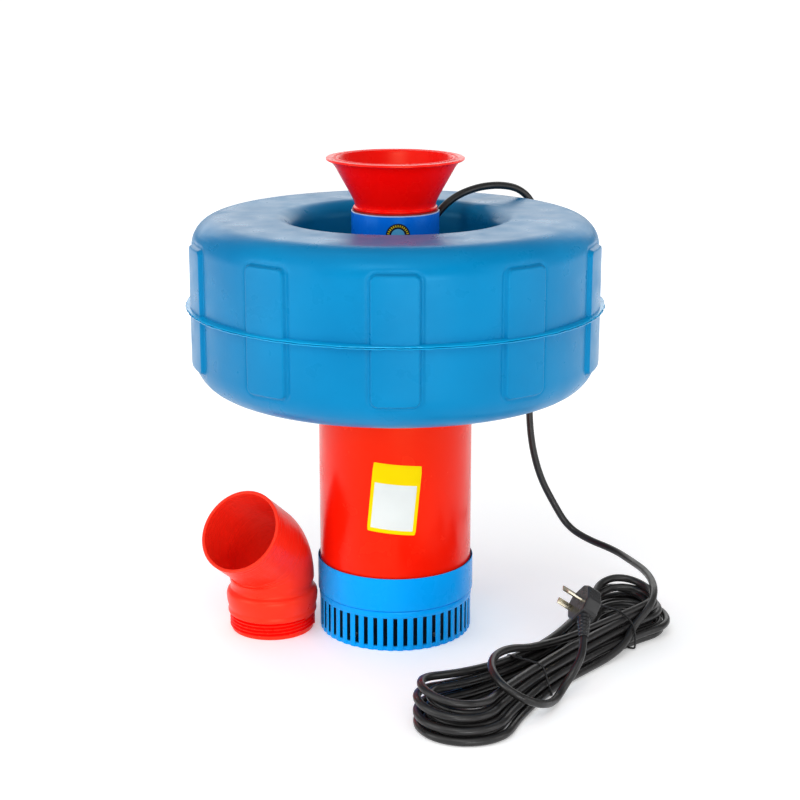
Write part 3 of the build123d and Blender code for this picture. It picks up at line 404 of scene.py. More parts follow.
@dataclass(frozen=True)
class Jacket(Finish):
    """Rubber or soft vinyl of a cable: dark, with dusty dull patches and fine draw marks."""

    gloss: float

    def material(self) -> bpy.types.Material:
        """Builds the node material."""
        desk = NodeDesk(self.name)
        gloss = desk.span(desk.noise(70.0, 5.0), self.gloss - 0.08, self.gloss + 0.12)
        bumps = [(desk.noise(900.0, 1.0), 0.02), (desk.noise(140.0, 1.0), 0.08)]
        return desk.dressed(desk.mottled(self.deep, self.light, 45.0, 6.0), gloss, bumps, IOR=1.5,
                            Specular_IOR_Level=0.45)


@dataclass(frozen=True)
class Sticker(Finish):
    """Printed film: even ink with a faint ripple where it was smoothed down."""

    tint: Colour = (1.0, 1.0, 1.0)

    def material(self) -> bpy.types.Material:
        """Builds the node material."""
        desk = NodeDesk(self.name)
        return desk.dressed(desk.mottled(self.light, self.deep, 25.0, 3.0),
                            desk.span(desk.noise(90.0, 4.0), 0.28, 0.42), [(desk.noise(45.0, 1.0), 0.10)],
                            self.tint, IOR=1.45, Specular_IOR_Level=0.3)


@dataclass(frozen=True)
class StudioPaper(Finish):
    """Pale backdrop paper that glows a little, and more towards its far edge."""

    near_glow: float = 0.27
    far_glow: float = 0.55
    near: float = 0.45
    far: float = 2.2

    def material(self) -> bpy.types.Material:
        """Builds the node material."""
        desk = NodeDesk(self.name)
        distance = desk.add("ShaderNodeVectorMath", {0: desk.place}, operation="LENGTH").outputs["Value"]
        glow = desk.span(distance, self.near_glow, self.far_glow, self.near, self.far)
        desk.feed(desk.shader, {"Emission Strength": glow, "Emission Color": (1.0, 1.0, 1.0, 1.0)})
        return desk.dressed(desk.mottled(self.light, self.deep, 3.0, 3.0), 0.95, Specular_IOR_Level=0.0)


WARM: Colour = (1.0, 0.55, 0.32)
COOL: Colour = (0.20, 0.72, 1.0)
# Pale blue of the painted highlight on the sleeve's top rim.
RIM_HIGHLIGHT_BLUE: Colour = (0.52, 0.68, 0.85)
FLOAT_BLUE = MouldedPlastic(
    "float_blue", (0.000, 0.190, 0.42), (0.000, 0.150, 0.35), gloss=0.31, skin_depth=0.06, skin_scale=240.0,
    wave_depth=0.5, shine=0.32, tint=COOL)
# Painted highlight: the seam is a lighter copy of the float's blue, standing in for the highlights along the
# flash line, with a real higher gloss as well.
SEAM_HIGHLIGHT_BLUE = MouldedPlastic(
    "seam_highlight_blue", (0.002, 0.36, 0.66), (0.001, 0.26, 0.54), gloss=0.16, skin_depth=0.12, skin_scale=260.0,
    shine=0.7, tint=COOL)
STRAINER_BLUE = MouldedPlastic(
    "strainer_blue", (0.000, 0.335, 0.86), (0.000, 0.292, 0.78), gloss=0.28, skin_depth=0.01, skin_scale=90.0,
    wave_depth=0.2, shine=0.28, tint=COOL)
# Painted shade: a near-black blue for the strainer's inward faces and the floor's top, where shade falls
# inside the cup.
STRAINER_PAINTED_SHADE = MouldedPlastic(
    "strainer_painted_shade", (0.000, 0.030, 0.085), (0.000, 0.020, 0.060), gloss=0.6, skin_depth=0.03,
    skin_scale=90.0, wave_depth=0.2, shine=0.08, tint=COOL)
# The sleeve's top rim is painted pale: a painted highlight along its edge.
SLEEVE_BLUE = MouldedPlastic(
    "sleeve_blue", (0.000, 0.155, 0.78), (0.000, 0.135, 0.70), gloss=0.28, skin_depth=0.01, skin_scale=90.0,
    wave_depth=0.1, shine=0.25, tint=COOL, rim_highlight_above=0.4476)
HORN_RED = MouldedPlastic(
    "horn_red", (0.98, 0.002, 0.001), (0.93, 0.001, 0.001), gloss=0.27, skin_depth=0.01, skin_scale=90.0,
    wave_depth=0.15, shine=0.30, tint=WARM)
# Painted sheen: a lighter, more orange copy of the red plastic, standing in for the hazy reflection along the
# elbow.
ELBOW_PAINTED_SHEEN_RED = MouldedPlastic(
    "elbow_painted_sheen_red", (0.94, 0.030, 0.012), (0.88, 0.018, 0.007), gloss=0.33, skin_depth=0.01, skin_scale=90.0,
    wave_depth=0.3, shine=0.36, tint=WARM, ring_axis=(-0.4113, -0.6846, 0.6018))
SEAL_RED = Jacket("seal_red", (0.35, 0.010, 0.006), (0.20, 0.004, 0.003), 0.5)
BARREL_RED = GlossEnamel("barrel_red", (0.88, 0.009, 0.001), (0.82, 0.006, 0.001), 0.18)
HEAD_IRON = PaintedCasting("head_iron", (0.014, 0.018, 0.026), (0.008, 0.011, 0.017))
BLACK_PLASTIC = MouldedPlastic("black_plastic", (0.016, 0.016, 0.017), (0.010, 0.010, 0.011), 0.38, 0.03)
CAST_ALUMINIUM = BareMetal("cast_aluminium", (0.62, 0.63, 0.64), (0.50, 0.51, 0.52), 0.48)
BRIGHT_STEEL = BareMetal("bright_steel", (0.66, 0.66, 0.67), (0.55, 0.55, 0.56), 0.28, Grain.ROUND_THE_AXIS)
CAN_STEEL = BareMetal("can_steel", (0.58, 0.59, 0.61), (0.47, 0.48, 0.50), 0.32, Grain.ALONG_THE_AXIS)
LAMINATION = StackedSheet("lamination", (0.33, 0.34, 0.36), (0.12, 0.12, 0.13))
COPPER = WoundWire("copper", (0.76, 0.33, 0.15), (0.32, 0.10, 0.04))
CAPACITOR_CAN = MouldedPlastic("capacitor_can", (0.72, 0.72, 0.68), (0.64, 0.64, 0.60), 0.35, 0.02)
SEAL_FACE = MouldedPlastic("seal_face", (0.10, 0.10, 0.11), (0.06, 0.06, 0.065), 0.22, 0.01)
CABLE_BLACK = Jacket("cable_black", (0.011, 0.010, 0.010), (0.005, 0.005, 0.005), 0.33)
RUBBER = Jacket("rubber", (0.022, 0.022, 0.024), (0.010, 0.010, 0.011), 0.55)
TIE_BLACK = MouldedPlastic("tie_black", (0.012, 0.012, 0.013), (0.006, 0.006, 0.007), 0.40, 0.03)
PLUG_BLACK = Jacket("plug_black", (0.016, 0.016, 0.017), (0.008, 0.008, 0.009), 0.30)
BRASS = BareMetal("pin_brass", (0.88, 0.82, 0.68), (0.76, 0.68, 0.50), 0.18)
FOAM = FoamFill("foam", (0.82, 0.80, 0.70), (0.55, 0.53, 0.45))
LABEL_YELLOW = Sticker("label_yellow", (0.86, 0.64, 0.000), (0.83, 0.60, 0.000), (1.0, 0.7, 0.1))
LABEL_WHITE = Sticker("label_white", (0.70, 0.73, 0.71), (0.66, 0.69, 0.67))
BADGE_DARK = Sticker("badge_dark", (0.006, 0.008, 0.022), (0.004, 0.005, 0.016))
BADGE_BLUE = Sticker("badge_blue", (0.10, 0.42, 0.72), (0.08, 0.36, 0.64))
PAPER = StudioPaper("studio_paper", (0.93, 0.93, 0.93), (0.91, 0.91, 0.91))

SLOT_FINISH: dict[str, Finish] = {
    "blue_plastic": STRAINER_BLUE, "red_plastic": HORN_RED, "red_enamel": BARREL_RED,
    "float_blue": FLOAT_BLUE, "float_foam": FOAM, "cast_iron": HEAD_IRON, "black_plastic": BLACK_PLASTIC,
    "cast_aluminium": CAST_ALUMINIUM, "steel": BRIGHT_STEEL, "can_steel": CAN_STEEL,
    "lamination": LAMINATION, "copper": COPPER, "capacitor_can": CAPACITOR_CAN, "seal_face": SEAL_FACE,
    "rubber": RUBBER, "tie_black": TIE_BLACK, "brass": BRASS,
}
NODE_FINISH: dict[str, Finish] = {
    "plug_body": PLUG_BLACK, "plug_relief": PLUG_BLACK, "inner_lead": CABLE_BLACK, "horn_seal": SEAL_RED,
}


class FinishShelf:
    """Keeps one material for each finish."""

    def __init__(self) -> None:
        """Starts with no material."""
        self._made: dict[str, bpy.types.Material] = {}

    def of(self, finish: Finish) -> bpy.types.Material:
        """Returns a finish's material.

        Args:
            finish: The finish.

        Returns:
            Its material, built on first use.
        """
        if finish.name not in self._made:
            self._made[finish.name] = finish.material()
        return self._made[finish.name]

    def dress(self, frame: dict) -> None:
        """Gives each CAD node its own finish, or the finish of its slot.
        """
        for part in frame["record"]["subparts"]:
            node = frame["nodes"][part["node"]]
            finish = NODE_FINISH.get(part["node"], SLOT_FINISH[part["material_slot"]])
            for slot in node.material_slots:
                slot.material = self.of(finish)
            if not node.material_slots:
                node.data.materials.append(self.of(finish))


def in_scene(name: str, data: bpy.types.ID) -> bpy.types.Object:
    """Returns a new object with its data, linked to the scene."""
    made = bpy.data.objects.new(name, data)
    bpy.context.scene.collection.objects.link(made)
    return made


def object_of(mesh: Mesh, name: str, materials: Sequence[bpy.types.Material]) -> bpy.types.Object:
    """Turns a mesh into an object.

    Args:
        mesh: Mesh in metres, freed afterwards.
        name: The object's name.
        materials: Its materials, by face index.

    Returns:
        The object.
    """
    data = bpy.data.meshes.new(name)
    mesh.to_mesh(data)
    mesh.free()
    for material in materials:
        data.materials.append(material)
    return in_scene(name, data)


def smooth_shaded(mesh: Mesh, crease: float) -> None:
    """Shades faces smooth and keeps edges sharp where they turn by more than an angle.

    Args:
        mesh: The mesh.
        crease: Angle in degrees past which an edge stays sharp.
    """
    for face in mesh.faces:
        face.smooth = True
    for edge in mesh.edges:
        if len(edge.link_faces) == 2:
            edge.smooth = edge.calc_face_angle(0.0) < math.radians(crease)


def placed(mesh: Mesh, name: str, materials: Sequence[bpy.types.Material], body: str,
           replaced: Iterable[str] = (), crease: float = 32.0) -> bpy.types.Object:
    """Turns a mesh into a piece that rides on a body, with its faces outwards.

    Args:
        mesh: Mesh in metres, freed afterwards.
        name: The piece's name.
        materials: Its materials, by face index.
        body: The CAD body it rides on.
        replaced: CAD nodes that it stands for.
        crease: Angle in degrees past which edges stay sharp.

    Returns:
        The piece.
    """
    bmesh.ops.remove_doubles(mesh, verts=mesh.verts, dist=SAME_PLACE)
    bmesh.ops.recalc_face_normals(mesh, faces=mesh.faces)
    smooth_shaded(mesh, crease)
    piece = object_of(mesh, name, materials)
    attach(piece, body)
    if replaced:
        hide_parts(*replaced)
    LOG.info("%s: %d faces on %s", name, len(piece.data.polygons), body)
    return piece


def lathed(mesh: Mesh, corners: Sequence[Corner], steps: int, closed: bool = False,
           same_place: float = SAME_PLACE) -> None:
    """Draws a line in a mesh and spins it a full turn about the upright axis.

    Args:
        mesh: The mesh.
        corners: The line's corners, in the mesh's own unit.
        steps: Steps in the turn.
        closed: Whether the last corner joins the first.
        same_place: Distance under which corners are merged afterwards.
    """
    line = [mesh.verts.new(corner) for corner in corners]
    pairs = list(zip(line, line[1:]))
    if closed:
        pairs.append((line[-1], line[0]))
    edges = [mesh.edges.new(pair) for pair in pairs]
    bmesh.ops.spin(mesh, geom=line + edges, cent=ORIGIN, axis=UP, dvec=ORIGIN, angle=math.tau, steps=steps,
                   use_merge=True, use_duplicate=False)
    bmesh.ops.remove_doubles(mesh, verts=mesh.verts, dist=same_place)


def spun(corners: Sequence[Corner], steps: int) -> Mesh:
    """Spins a closed outline about the pump axis and rounds its rings.

    Args:
        corners: Outline corners as radius, height and rounding, in millimetres.
        steps: Steps in a full turn.

    Returns:
        The mesh, in metres.
    """
    mesh = bmesh.new()
    lathed(mesh, [(r * MM, 0, z * MM) for r, z, _ in corners], steps, closed=True)
    for r, z, rounding in corners:
        if rounding <= 0:
            continue
        ring = [e for e in mesh.edges if all(
            abs(v.co.xy.length - r * MM) < SAME_PLACE and abs(v.co.z - z * MM) < SAME_PLACE for v in e.verts)]
        bmesh.ops.bevel(mesh, geom=ring, offset=rounding * MM, segments=3, affect="EDGES", profile=0.5,
                        material=-1, clamp_overlap=True)
    return mesh


def laid_grid(columns: int, rows: int) -> tuple[Mesh, dict[bmesh.types.BMVert, tuple[int, int]]]:
    """Makes a grid of corners that a sector of a ring is shaped from.

    Args:
        columns: Corners across the sector.
        rows: Corners along its section.

    Returns:
        The mesh, and each corner's column and row.
    """
    mesh = bmesh.new()
    bmesh.ops.create_grid(mesh, x_segments=columns - 1, y_segments=rows - 1, size=1.0)
    cells = {}
    for vert in mesh.verts:
        cells[vert] = (round((vert.co.x + 1) / 2 * (columns - 1)), round((vert.co.y + 1) / 2 * (rows - 1)))
    return mesh, cells


def repeated_round(mesh: Mesh, times: int) -> None:
    """Repeats a sector round the pump axis and joins the ring.

    Args:
        mesh: The sector's mesh, in metres.
        times: Sectors in the ring.
    """
    whole = [*mesh.verts, *mesh.edges, *mesh.faces]
    bmesh.ops.spin(mesh, geom=whole, cent=ORIGIN, axis=UP, dvec=ORIGIN, angle=math.tau * (times - 1) / times,
                   steps=times - 1, use_merge=False, use_duplicate=True)
    bmesh.ops.remove_doubles(mesh, verts=mesh.verts, dist=10 * SAME_PLACE)


class RoundLine:
    """A wire or cord: one curve object with a round section."""

    def __init__(self, name: str, radius: float, steps: int, roundness: int) -> None:
        """Starts with no line drawn.

        Args:
            name: The curve's name.
            radius: The section's radius in metres.
            steps: Steps from one control point to the next.
            roundness: How finely the section is rounded, from 0 for a square.
        """
        self.curve = bpy.data.curves.new(name, "CURVE")
        self.curve.dimensions = "3D"
        self.curve.resolution_u = steps
        self.curve.bevel_depth = radius
        self.curve.bevel_resolution = roundness
        self.curve.use_fill_caps = True

    def draw(self, points: Sequence[Vector], cyclic: bool = False) -> None:
        """Draws one smooth line.

        Args:
            points: Control points in metres.
            cyclic: Whether the line closes on itself.
        """
        spline = self.curve.splines.new("NURBS")
        spline.points.add(len(points) - 1)
        for knot, point in zip(spline.points, points):
            knot.co = (*point, 1.0)
        spline.order_u = 3
        spline.use_cyclic_u = cyclic
        spline.use_endpoint_u = not cyclic
        spline.resolution_u = self.curve.resolution_u

    def finished(self, material: bpy.types.Material) -> bpy.types.Object:
        """Returns the curve's object with its material, linked to the scene."""
        self.curve.materials.append(material)
        LOG.info("%s: %d control points", self.curve.name, sum(len(s.points) for s in self.curve.splines))
        return in_scene(self.curve.name, self.curve)


class Softbox(NamedTuple):
    """A rectangular light: place, aim and sides in metres, power in watts."""

    name: str
    place: Corner
    aim: Corner
    width: float
    height: float
    power: float


@dataclass
class Studio:
    """Camera, floor and lights. The lights and the floor are in metres."""

    camera_back: float = 1776.28
    camera_height: float = 723.48
    pitch: float = 15.01
    lens: float = 79.206
    sensor: float = 36.0
    shift_x: float = 0.00587
    shift_y: float = 0.00142
    floor_size: float = 30.0
    softboxes: tuple[Softbox, ...] = (
        Softbox("left_softbox", (-1.9, -0.9, 0.75), (0.0, 0.0, 0.25), 1.5, 1.3, 17.0),
        Softbox("right_softbox", (1.9, -0.8, 0.75), (0.0, 0.0, 0.25), 1.3, 1.3, 9.0),
        Softbox("back_softbox", (0.0, 2.6, 1.45), (0.0, 0.0, 0.45), 4.0, 1.5, 30.0),
        Softbox("front_softbox", (-0.3, -2.1, 2.2), (0.0, 0.0, 0.3), 1.2, 0.8, 14.0),
        Softbox("low_softbox", (0.5, -2.4, 0.32), (0.0, 0.0, 0.40), 1.4, 0.5, 18.0),
    )
    daylight: float = 0.95
    daylight_spread: float = 80.0
    daylight_heading: Corner = (0.35, 0.75, -1.6)
    surround_unseen: float = 0.30
    surround_seen: float = 1.1

    def build(self, shelf: FinishShelf) -> None:
        """Builds the studio.

        Args:
            shelf: Where materials come from.
        """
        self._camera()
        floor = bmesh.new()
        bmesh.ops.create_grid(floor, x_segments=2, y_segments=2, size=self.floor_size)
        object_of(floor, "floor", [shelf.of(PAPER)])
        for box in self.softboxes:
            self._softbox(box)
        self._daylight()
        self._surround()

    def _camera(self) -> None:
        """Stands the camera where the photograph was taken from."""
        camera = bpy.data.cameras.new("photo_camera")
        camera.lens = self.lens
        camera.sensor_width = self.sensor
        camera.shift_x = self.shift_x
        camera.shift_y = self.shift_y
        holder = in_scene("photo_camera", camera)
        holder.location = (0, -self.camera_back * MM, self.camera_height * MM)
        holder.rotation_euler = (math.radians(90 - self.pitch), 0, 0)
        bpy.context.scene.camera = holder

    def _softbox(self, box: Softbox) -> None:
        """Hangs a softbox."""
        light = bpy.data.lights.new(box.name, "AREA")
        light.shape = "RECTANGLE"
        light.size = box.width
        light.size_y = box.height
        light.energy = box.power
        lamp = in_scene(box.name, light)
        lamp.location = box.place
        lamp.rotation_euler = (Vector(box.aim) - Vector(box.place)).to_track_quat("-Z", "Y").to_euler()

    def _daylight(self) -> None:
        """Hangs one very wide, soft overhead light."""
        light = bpy.data.lights.new("overhead", "SUN")
        light.energy = self.daylight
        light.angle = math.radians(self.daylight_spread)
        lamp = in_scene("overhead", light)
        lamp.rotation_euler = Vector(self.daylight_heading).to_track_quat("-Z", "Y").to_euler()

    def _surround(self) -> None:
        """Sets the even surround, brighter where it is seen directly, and the plain view transform."""
        world = bpy.data.worlds.new("surround")
        world.use_nodes = True
        tree = world.node_tree
        back = tree.nodes["Background"]
        back.inputs["Color"].default_value = (1.0, 1.0, 1.0, 1.0)
        seen = tree.nodes.new("ShaderNodeLightPath")
        level = tree.nodes.new("ShaderNodeMapRange")
        level.inputs["To Min"].default_value = self.surround_unseen
        level.inputs["To Max"].default_value = self.surround_seen
        tree.links.new(seen.outputs["Is Camera Ray"], level.inputs["Value"])
        tree.links.new(level.outputs["Result"], back.inputs["Strength"])
        bpy.context.scene.world = world
        bpy.context.scene.view_settings.view_transform = "Standard"
        bpy.context.scene.view_settings.look = "None"


class Loop(NamedTuple):
    """One turn of the hank: two strands, closest at the waist, and a half circle at each end.

    Each end has its radius (r) and its centre's place along (s) and across (t) the hank.
    """

    layer: int
    waist: float
    near_r: float
    far_r: float
    near_s: float
    far_s: float
    near_t: float
    far_t: float

    def end(self, far: bool) -> Corner:
        """Returns an end's radius and its centre's place along and across the hank."""
        return (self.far_r, self.far_s, self.far_t) if far else (self.near_r, self.near_s, self.near_t)


@dataclass
class Hank:
    """The tied hank: nested loops in layers, pinched at the ties and fanned at the ends.

    A place in it is given along, across and over it, in millimetres. Only its own place is in metres.
    The last of its loops is only begun, and the way out leaves from it.
    """

    place: Point = (0.155, -0.138)
    heading: float = 52.0
    loops: tuple[Loop, ...] = (
        Loop(0, 25.5, 46.0, 42.5, -146, 147, -2, 0), Loop(0, 17.5, 36.5, 35.5, -145, 148, 0, 0),
        Loop(0, 9.5, 28.5, 28.5, -145, 147, 0, 0), Loop(1, 5.5, 28.5, 28.5, -137, 143, 2, 0),
        Loop(1, 13.5, 35.5, 35.5, -142, 147, 1, -1), Loop(1, 21.5, 43.0, 42.5, -148, 151, 1, 0),
        Loop(2, 17.5, 38.0, 36.0, -151, 146, 5, 4), Loop(2, 9.5, 30.5, 28.5, -145, 140, 3, 4),
        Loop(3, 13.5, 34.0, 32.0, -147, 149, 8, 2), Loop(4, 6.0, 28.5, 28.5, -147, 143, 0, 0),
    )
    levels: tuple[float, ...] = (4.2, 11.6, 19.0, 26.4, 33.0)
    near_lift: tuple[float, ...] = (0.0, 2.0, 7.0, 10.0, 10.0)
    far_lift: tuple[float, ...] = (0.5, 5.0, 12.0, 15.0, 14.0)
    way_in: tuple[Corner, ...] = ((86, -35.5, 13), (60, -32.5, 6.5), (30, -28.5, 4.6), (0, -26.5, 4.4))
    way_out: tuple[Corner, ...] = (
        (127, -24.5, 36.5), (105, -18, 34), (80, -11, 31.5), (54, -4.5, 29), (28, 2, 28), (2, 8, 29.5),
    )
    steepest: float = 1.35
    lift_middle: float = 0.72
    lift_lean: float = 0.34
    lean_width: float = 30.0
    first_start: float = -30.0
    half_bend: float = 0.58
    point_gap: float = 46.0
    end_gap: float = 22.0
    bend_points: int = 7
    stray: Corner = (3.0, 0.8, 1.1)
    seed: int = 11

    def at(self, s: float, t: float, z: float) -> Vector:
        """Turns a place along, across and over the hank into the part's frame, in metres."""
        a = math.radians(self.heading)
        return Vector((self.place[0] + (s * math.cos(a) - t * math.sin(a)) * MM,
                       self.place[1] + (s * math.sin(a) + t * math.cos(a)) * MM, z * MM))

    def _height(self, layer: int, s: float, t: float, end_s: float) -> float:
        """Returns a strand's height, raised towards the ends and more on the far side of the hank.

        Args:
            layer: Its layer, from the floor.
            s: Place along the hank.
            t: Place across it.
            end_s: Where the nearer end's centre lies along it.

        Returns:
            The height over the floor.
        """
        share = min((s / end_s) ** 2, self.steepest)
        lean = max(min(t / self.lean_width, 1.0), -1.0)
        lift = (self.near_lift if s < 0 else self.far_lift)[layer]
        return self.levels[layer] + lift * share * (self.lift_middle + self.lift_lean * lean)

    def _strand(self, loop: Loop, side: int, start: float, end: float,
                chance: random.Random) -> Iterator[Vector]:
        """Lays one side of a loop, with points closer together towards its ends.

        Args:
            loop: The loop.
            side: -1 or 1 across the hank.
            start: Where it starts along the hank.
            end: Where it ends.
            chance: Source of small unevenness.

        Yields:
            Control points in metres.
        """
        gap = self.end_gap if end > start else -self.end_gap
        steps = max(round(abs(end - start) / self.point_gap), 2)
        middle = [start + gap + (end - start - 2 * gap) * i / steps for i in range(1, steps)]
        places = [start, start + gap, *middle, end - gap, end]
        along, across, over = self.stray
        for i, s in enumerate(places):
            end_r, end_s, end_t = loop.end(s >= 0)
            share = min((s / end_s) ** 2, 1.0)
            loose = 1.0 if 1 < i < len(places) - 2 else 0.2
            t = side * (loop.waist + (end_r - loop.waist) * share) + end_t * share
            z = self._height(loop.layer, s, t, end_s) + chance.uniform(0.0, over) * loose
            s += chance.uniform(-along, along) * loose
            t += chance.uniform(-across, across) * loose
            yield self.at(s, t, z)

    def _bend(self, first: Loop, second: Loop, far: bool, chance: random.Random) -> Iterator[Vector]:
        """Lays the half turn at one end, from one loop to the next.

        Args:
            first: The loop it comes from.
            second: The loop it goes to.
            far: Whether it lies at the far end.
            chance: Source of small unevenness.

        Yields:
            Control points in metres, a little outside the turn that they give.
        """
        step = 180 / (self.bend_points - 1)
        for i in range(self.bend_points):
            share = i / (self.bend_points - 1)
            angle = math.radians((90 if far else 270) - 180 * share)
            ends = zip(first.end(far), second.end(far))
            radius, along, across = (a * (1 - share) + b * share for a, b in ends)
            radius /= math.cos(math.radians(step / 2))
            s = along + radius * math.cos(angle)
            t = across + radius * math.sin(angle)
            heights = [self._height(loop.layer, s, t, along) for loop in (first, second)]
            z = heights[0] * (1 - share) + heights[1] * share
            yield self.at(s + chance.uniform(-0.5, 0.5), t, z + chance.uniform(0.0, 0.5))

    def turns(self) -> list[Vector]:
        """Lays the turns: every loop but the last in full, and the way into the last.

        Returns:
            Control points in metres, from the supply's side to the tail.
        """
        chance = random.Random(self.seed)
        points = [self.at(*place) for place in self.way_in]
        for k, (loop, after) in enumerate(zip(self.loops, self.loops[1:])):
            near = loop.near_s + self.half_bend * loop.near_r
            far = loop.far_s - self.half_bend * loop.far_r
            points.extend(self._strand(loop, -1, far if k else self.first_start, near, chance))
            points.extend(self._bend(loop, loop, False, chance))
            points.extend(self._strand(loop, 1, near, far, chance))
            points.extend(self._bend(loop, after, True, chance))
        return points + [self.at(*place) for place in self.way_out]


@dataclass
class Cable:
    """The mains cable as one line: down from the gland, round the hank and out to the plug, in metres."""

    diameter: float = 0.008
    exit: Corner = (0.0315, 0.0592, 0.38)
    supply: tuple[Corner, ...] = (
        (0.0315, 0.0592, 0.404), (0.04, 0.066, 0.43), (0.06, 0.078, 0.449), (0.085, 0.095, 0.4575),
        (0.112, 0.112, 0.4585), (0.136, 0.134, 0.451), (0.153, 0.15, 0.431), (0.158, 0.159, 0.4),
        (0.158, 0.161, 0.36), (0.155, 0.159, 0.31), (0.152, 0.156, 0.255), (0.1515, 0.1525, 0.205),
        (0.1545, 0.15, 0.16), (0.165, 0.148, 0.119), (0.181, 0.146, 0.088), (0.1975, 0.142, 0.0605),
        (0.219, 0.13, 0.049), (0.2485, 0.108, 0.0436), (0.2645, 0.072, 0.0425), (0.273, 0.035, 0.046),
        (0.276, -0.002, 0.048), (0.2745, -0.03, 0.045), (0.266, -0.054, 0.038), (0.248, -0.068, 0.024),
    )
    tail: tuple[Corner, ...] = (
        (0.131, -0.149, 0.033), (0.114, -0.17, 0.042), (0.0985, -0.188, 0.044), (0.0915, -0.209, 0.043),
        (0.093, -0.231, 0.041), (0.103, -0.25, 0.0355), (0.12, -0.256, 0.027), (0.136, -0.247, 0.0175),
        (0.147, -0.229, 0.0095), (0.156, -0.209, 0.006), (0.1655, -0.193, 0.0135), (0.1755, -0.1865, 0.0265),
    )
    plug_foot: Corner = (0.1865, -0.152, 0.0445)
    plug_heading: Corner = (0.107, 0.94, 0.322)
    plug_lead: float = 0.02
    length: float = 8.5
    hank: Hank = field(default_factory=Hank)

    def route(self) -> list[Vector]:
        """Returns all control points, from the gland to the plug."""
        foot = Vector(self.plug_foot)
        lead = foot - Vector(self.plug_heading).normalized() * self.plug_lead
        way = [Vector(place) for place in (self.exit, *self.supply)]
        return [*way, *self.hank.turns(), *(Vector(place) for place in self.tail), lead, foot]

    def build(self, shelf: FinishShelf) -> bpy.types.Object:
        """Builds the cable.

        Args:
            shelf: Where materials come from.

        Returns:
            The cable's curve.
        """
        line = RoundLine("mains_cable", self.diameter / 2, steps=8, roundness=4)
        line.draw(self.route())
        piece = line.finished(shelf.of(CABLE_BLACK))
        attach(piece, "pump_body")
        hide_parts("supply_cord", "cord_hank", "cord_tail")
        return piece

    def declare(self) -> None:
        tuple(self.exit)


@dataclass
class HankTies:
    """Two thin twist ties round the hank, each a closed loop with two twisted ends.

    The loops are places across and over the hank.
    """

    hank: Hank
    wire_r: float = 0.99
    near_s: float = -46.0
    near_loop: tuple[Point, ...] = (
        (-32, 5), (-32.5, 1.2), (-16, 1.1), (0, 1.1), (16, 1.1), (32.5, 1.2), (32, 5), (29, 14.5), (24, 24.5),
        (19.5, 31.5), (8, 32.2), (-8, 32), (-20, 31), (-25, 23.5), (-29.5, 14.5),
    )
    far_s: float = 104.0
    far_loop: tuple[Point, ...] = (
        (-37.5, 5), (-36, 1.4), (-18, 1.1), (0, 1.1), (18, 1.1), (36, 1.4), (37.5, 6), (36.5, 17), (31, 29),
        (23, 39), (8, 41), (-9, 40), (-22, 38), (-36, 28), (-38.5, 15),
    )
    lean: float = 1.6
    lean_pace: float = 1.7
    twist_r: float = 1.1
    twist_start: float = 4.0
    twist_step: Point = (0.4, 2.2)
    twist_turn: float = 1.5
    twist_points: int = 9
    droop: float = 0.5

    def build(self, shelf: FinishShelf) -> list[bpy.types.Object]:
        """Builds both ties.

        Args:
            shelf: Where materials come from.

        Returns:
            The two ties.
        """
        return [self._tie("twist_tie_near", "hank_tie_near", self.near_s, self.near_loop, shelf),
                self._tie("twist_tie_far", "hank_tie_far", self.far_s, self.far_loop, shelf)]

    def _tie(self, name: str, node: str, s: float, loop: Sequence[Point],
             shelf: FinishShelf) -> bpy.types.Object:
        """Builds one tie.

        Args:
            name: The piece's name.
            node: The CAD node it stands for.
            s: Place along the hank.
            loop: Places across and over the hank that the wire goes round.
            shelf: Where materials come from.

        Returns:
            The tie.
        """
        line = RoundLine(name, self.wire_r * MM, steps=6, roundness=3)
        leans = [self.lean * math.sin(i * self.lean_pace) for i in range(len(loop))]
        line.draw([self.hank.at(s + lean, t, z) for lean, (t, z) in zip(leans, loop)], cyclic=True)
        top = max(z for _, z in loop) - 0.2
        for start in (0.0, math.pi):
            line.draw([self._twist(s, top, start, i) for i in range(self.twist_points)])
        piece = line.finished(shelf.of(TIE_BLACK))
        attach(piece, "pump_body")
        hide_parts(node)
        return piece

    def _twist(self, s: float, top: float, start: float, i: int) -> Vector:
        """Returns a point of a twisted end, which winds out across the hank and droops.

        Args:
            s: The tie's place along the hank.
            top: Height of the tie's top.
            start: Angle at which the end starts round its fellow.
            i: The point's number.

        Returns:
            The control point in metres.
        """
        turn = start + i * self.twist_turn
        along, across = self.twist_step
        z = top + math.sin(turn) - max(i - 2, 0) * self.droop
        return self.hank.at(s + self.twist_r * math.cos(turn) + i * along, self.twist_start + i * across, z)


class Section:
    """A section drawn as a line of places, each a radius and a height."""

    def __init__(self) -> None:
        """Starts with an empty line."""
        self.line: list[Point] = []

    def arc(self, centre: Point, radius: float, start: float, end: float, parts: int) -> None:
        """Adds an arc.

        Args:
            centre: Its centre.
            radius: Its radius.
            start: Angle in degrees where it starts, from the way outwards.
            end: Angle where it ends.
            parts: Steps in it.
        """
        for i in range(parts + 1):
            a = math.radians(start + (end - start) * i / parts)
            self.line.append((centre[0] + radius * math.cos(a), centre[1] + radius * math.sin(a)))

    def upright(self, r: float, heights: Iterable[float]) -> None:
        """Adds an upright run."""
        self.line.extend((r, z) for z in heights)

    def slope(self, j: int) -> Vector:
        """Returns the direction square to the line at a place, out of the part."""
        before, after = self.line[max(j - 1, 0)], self.line[min(j + 1, len(self.line) - 1)]
        return Vector((after[1] - before[1], before[0] - after[0])).normalized()


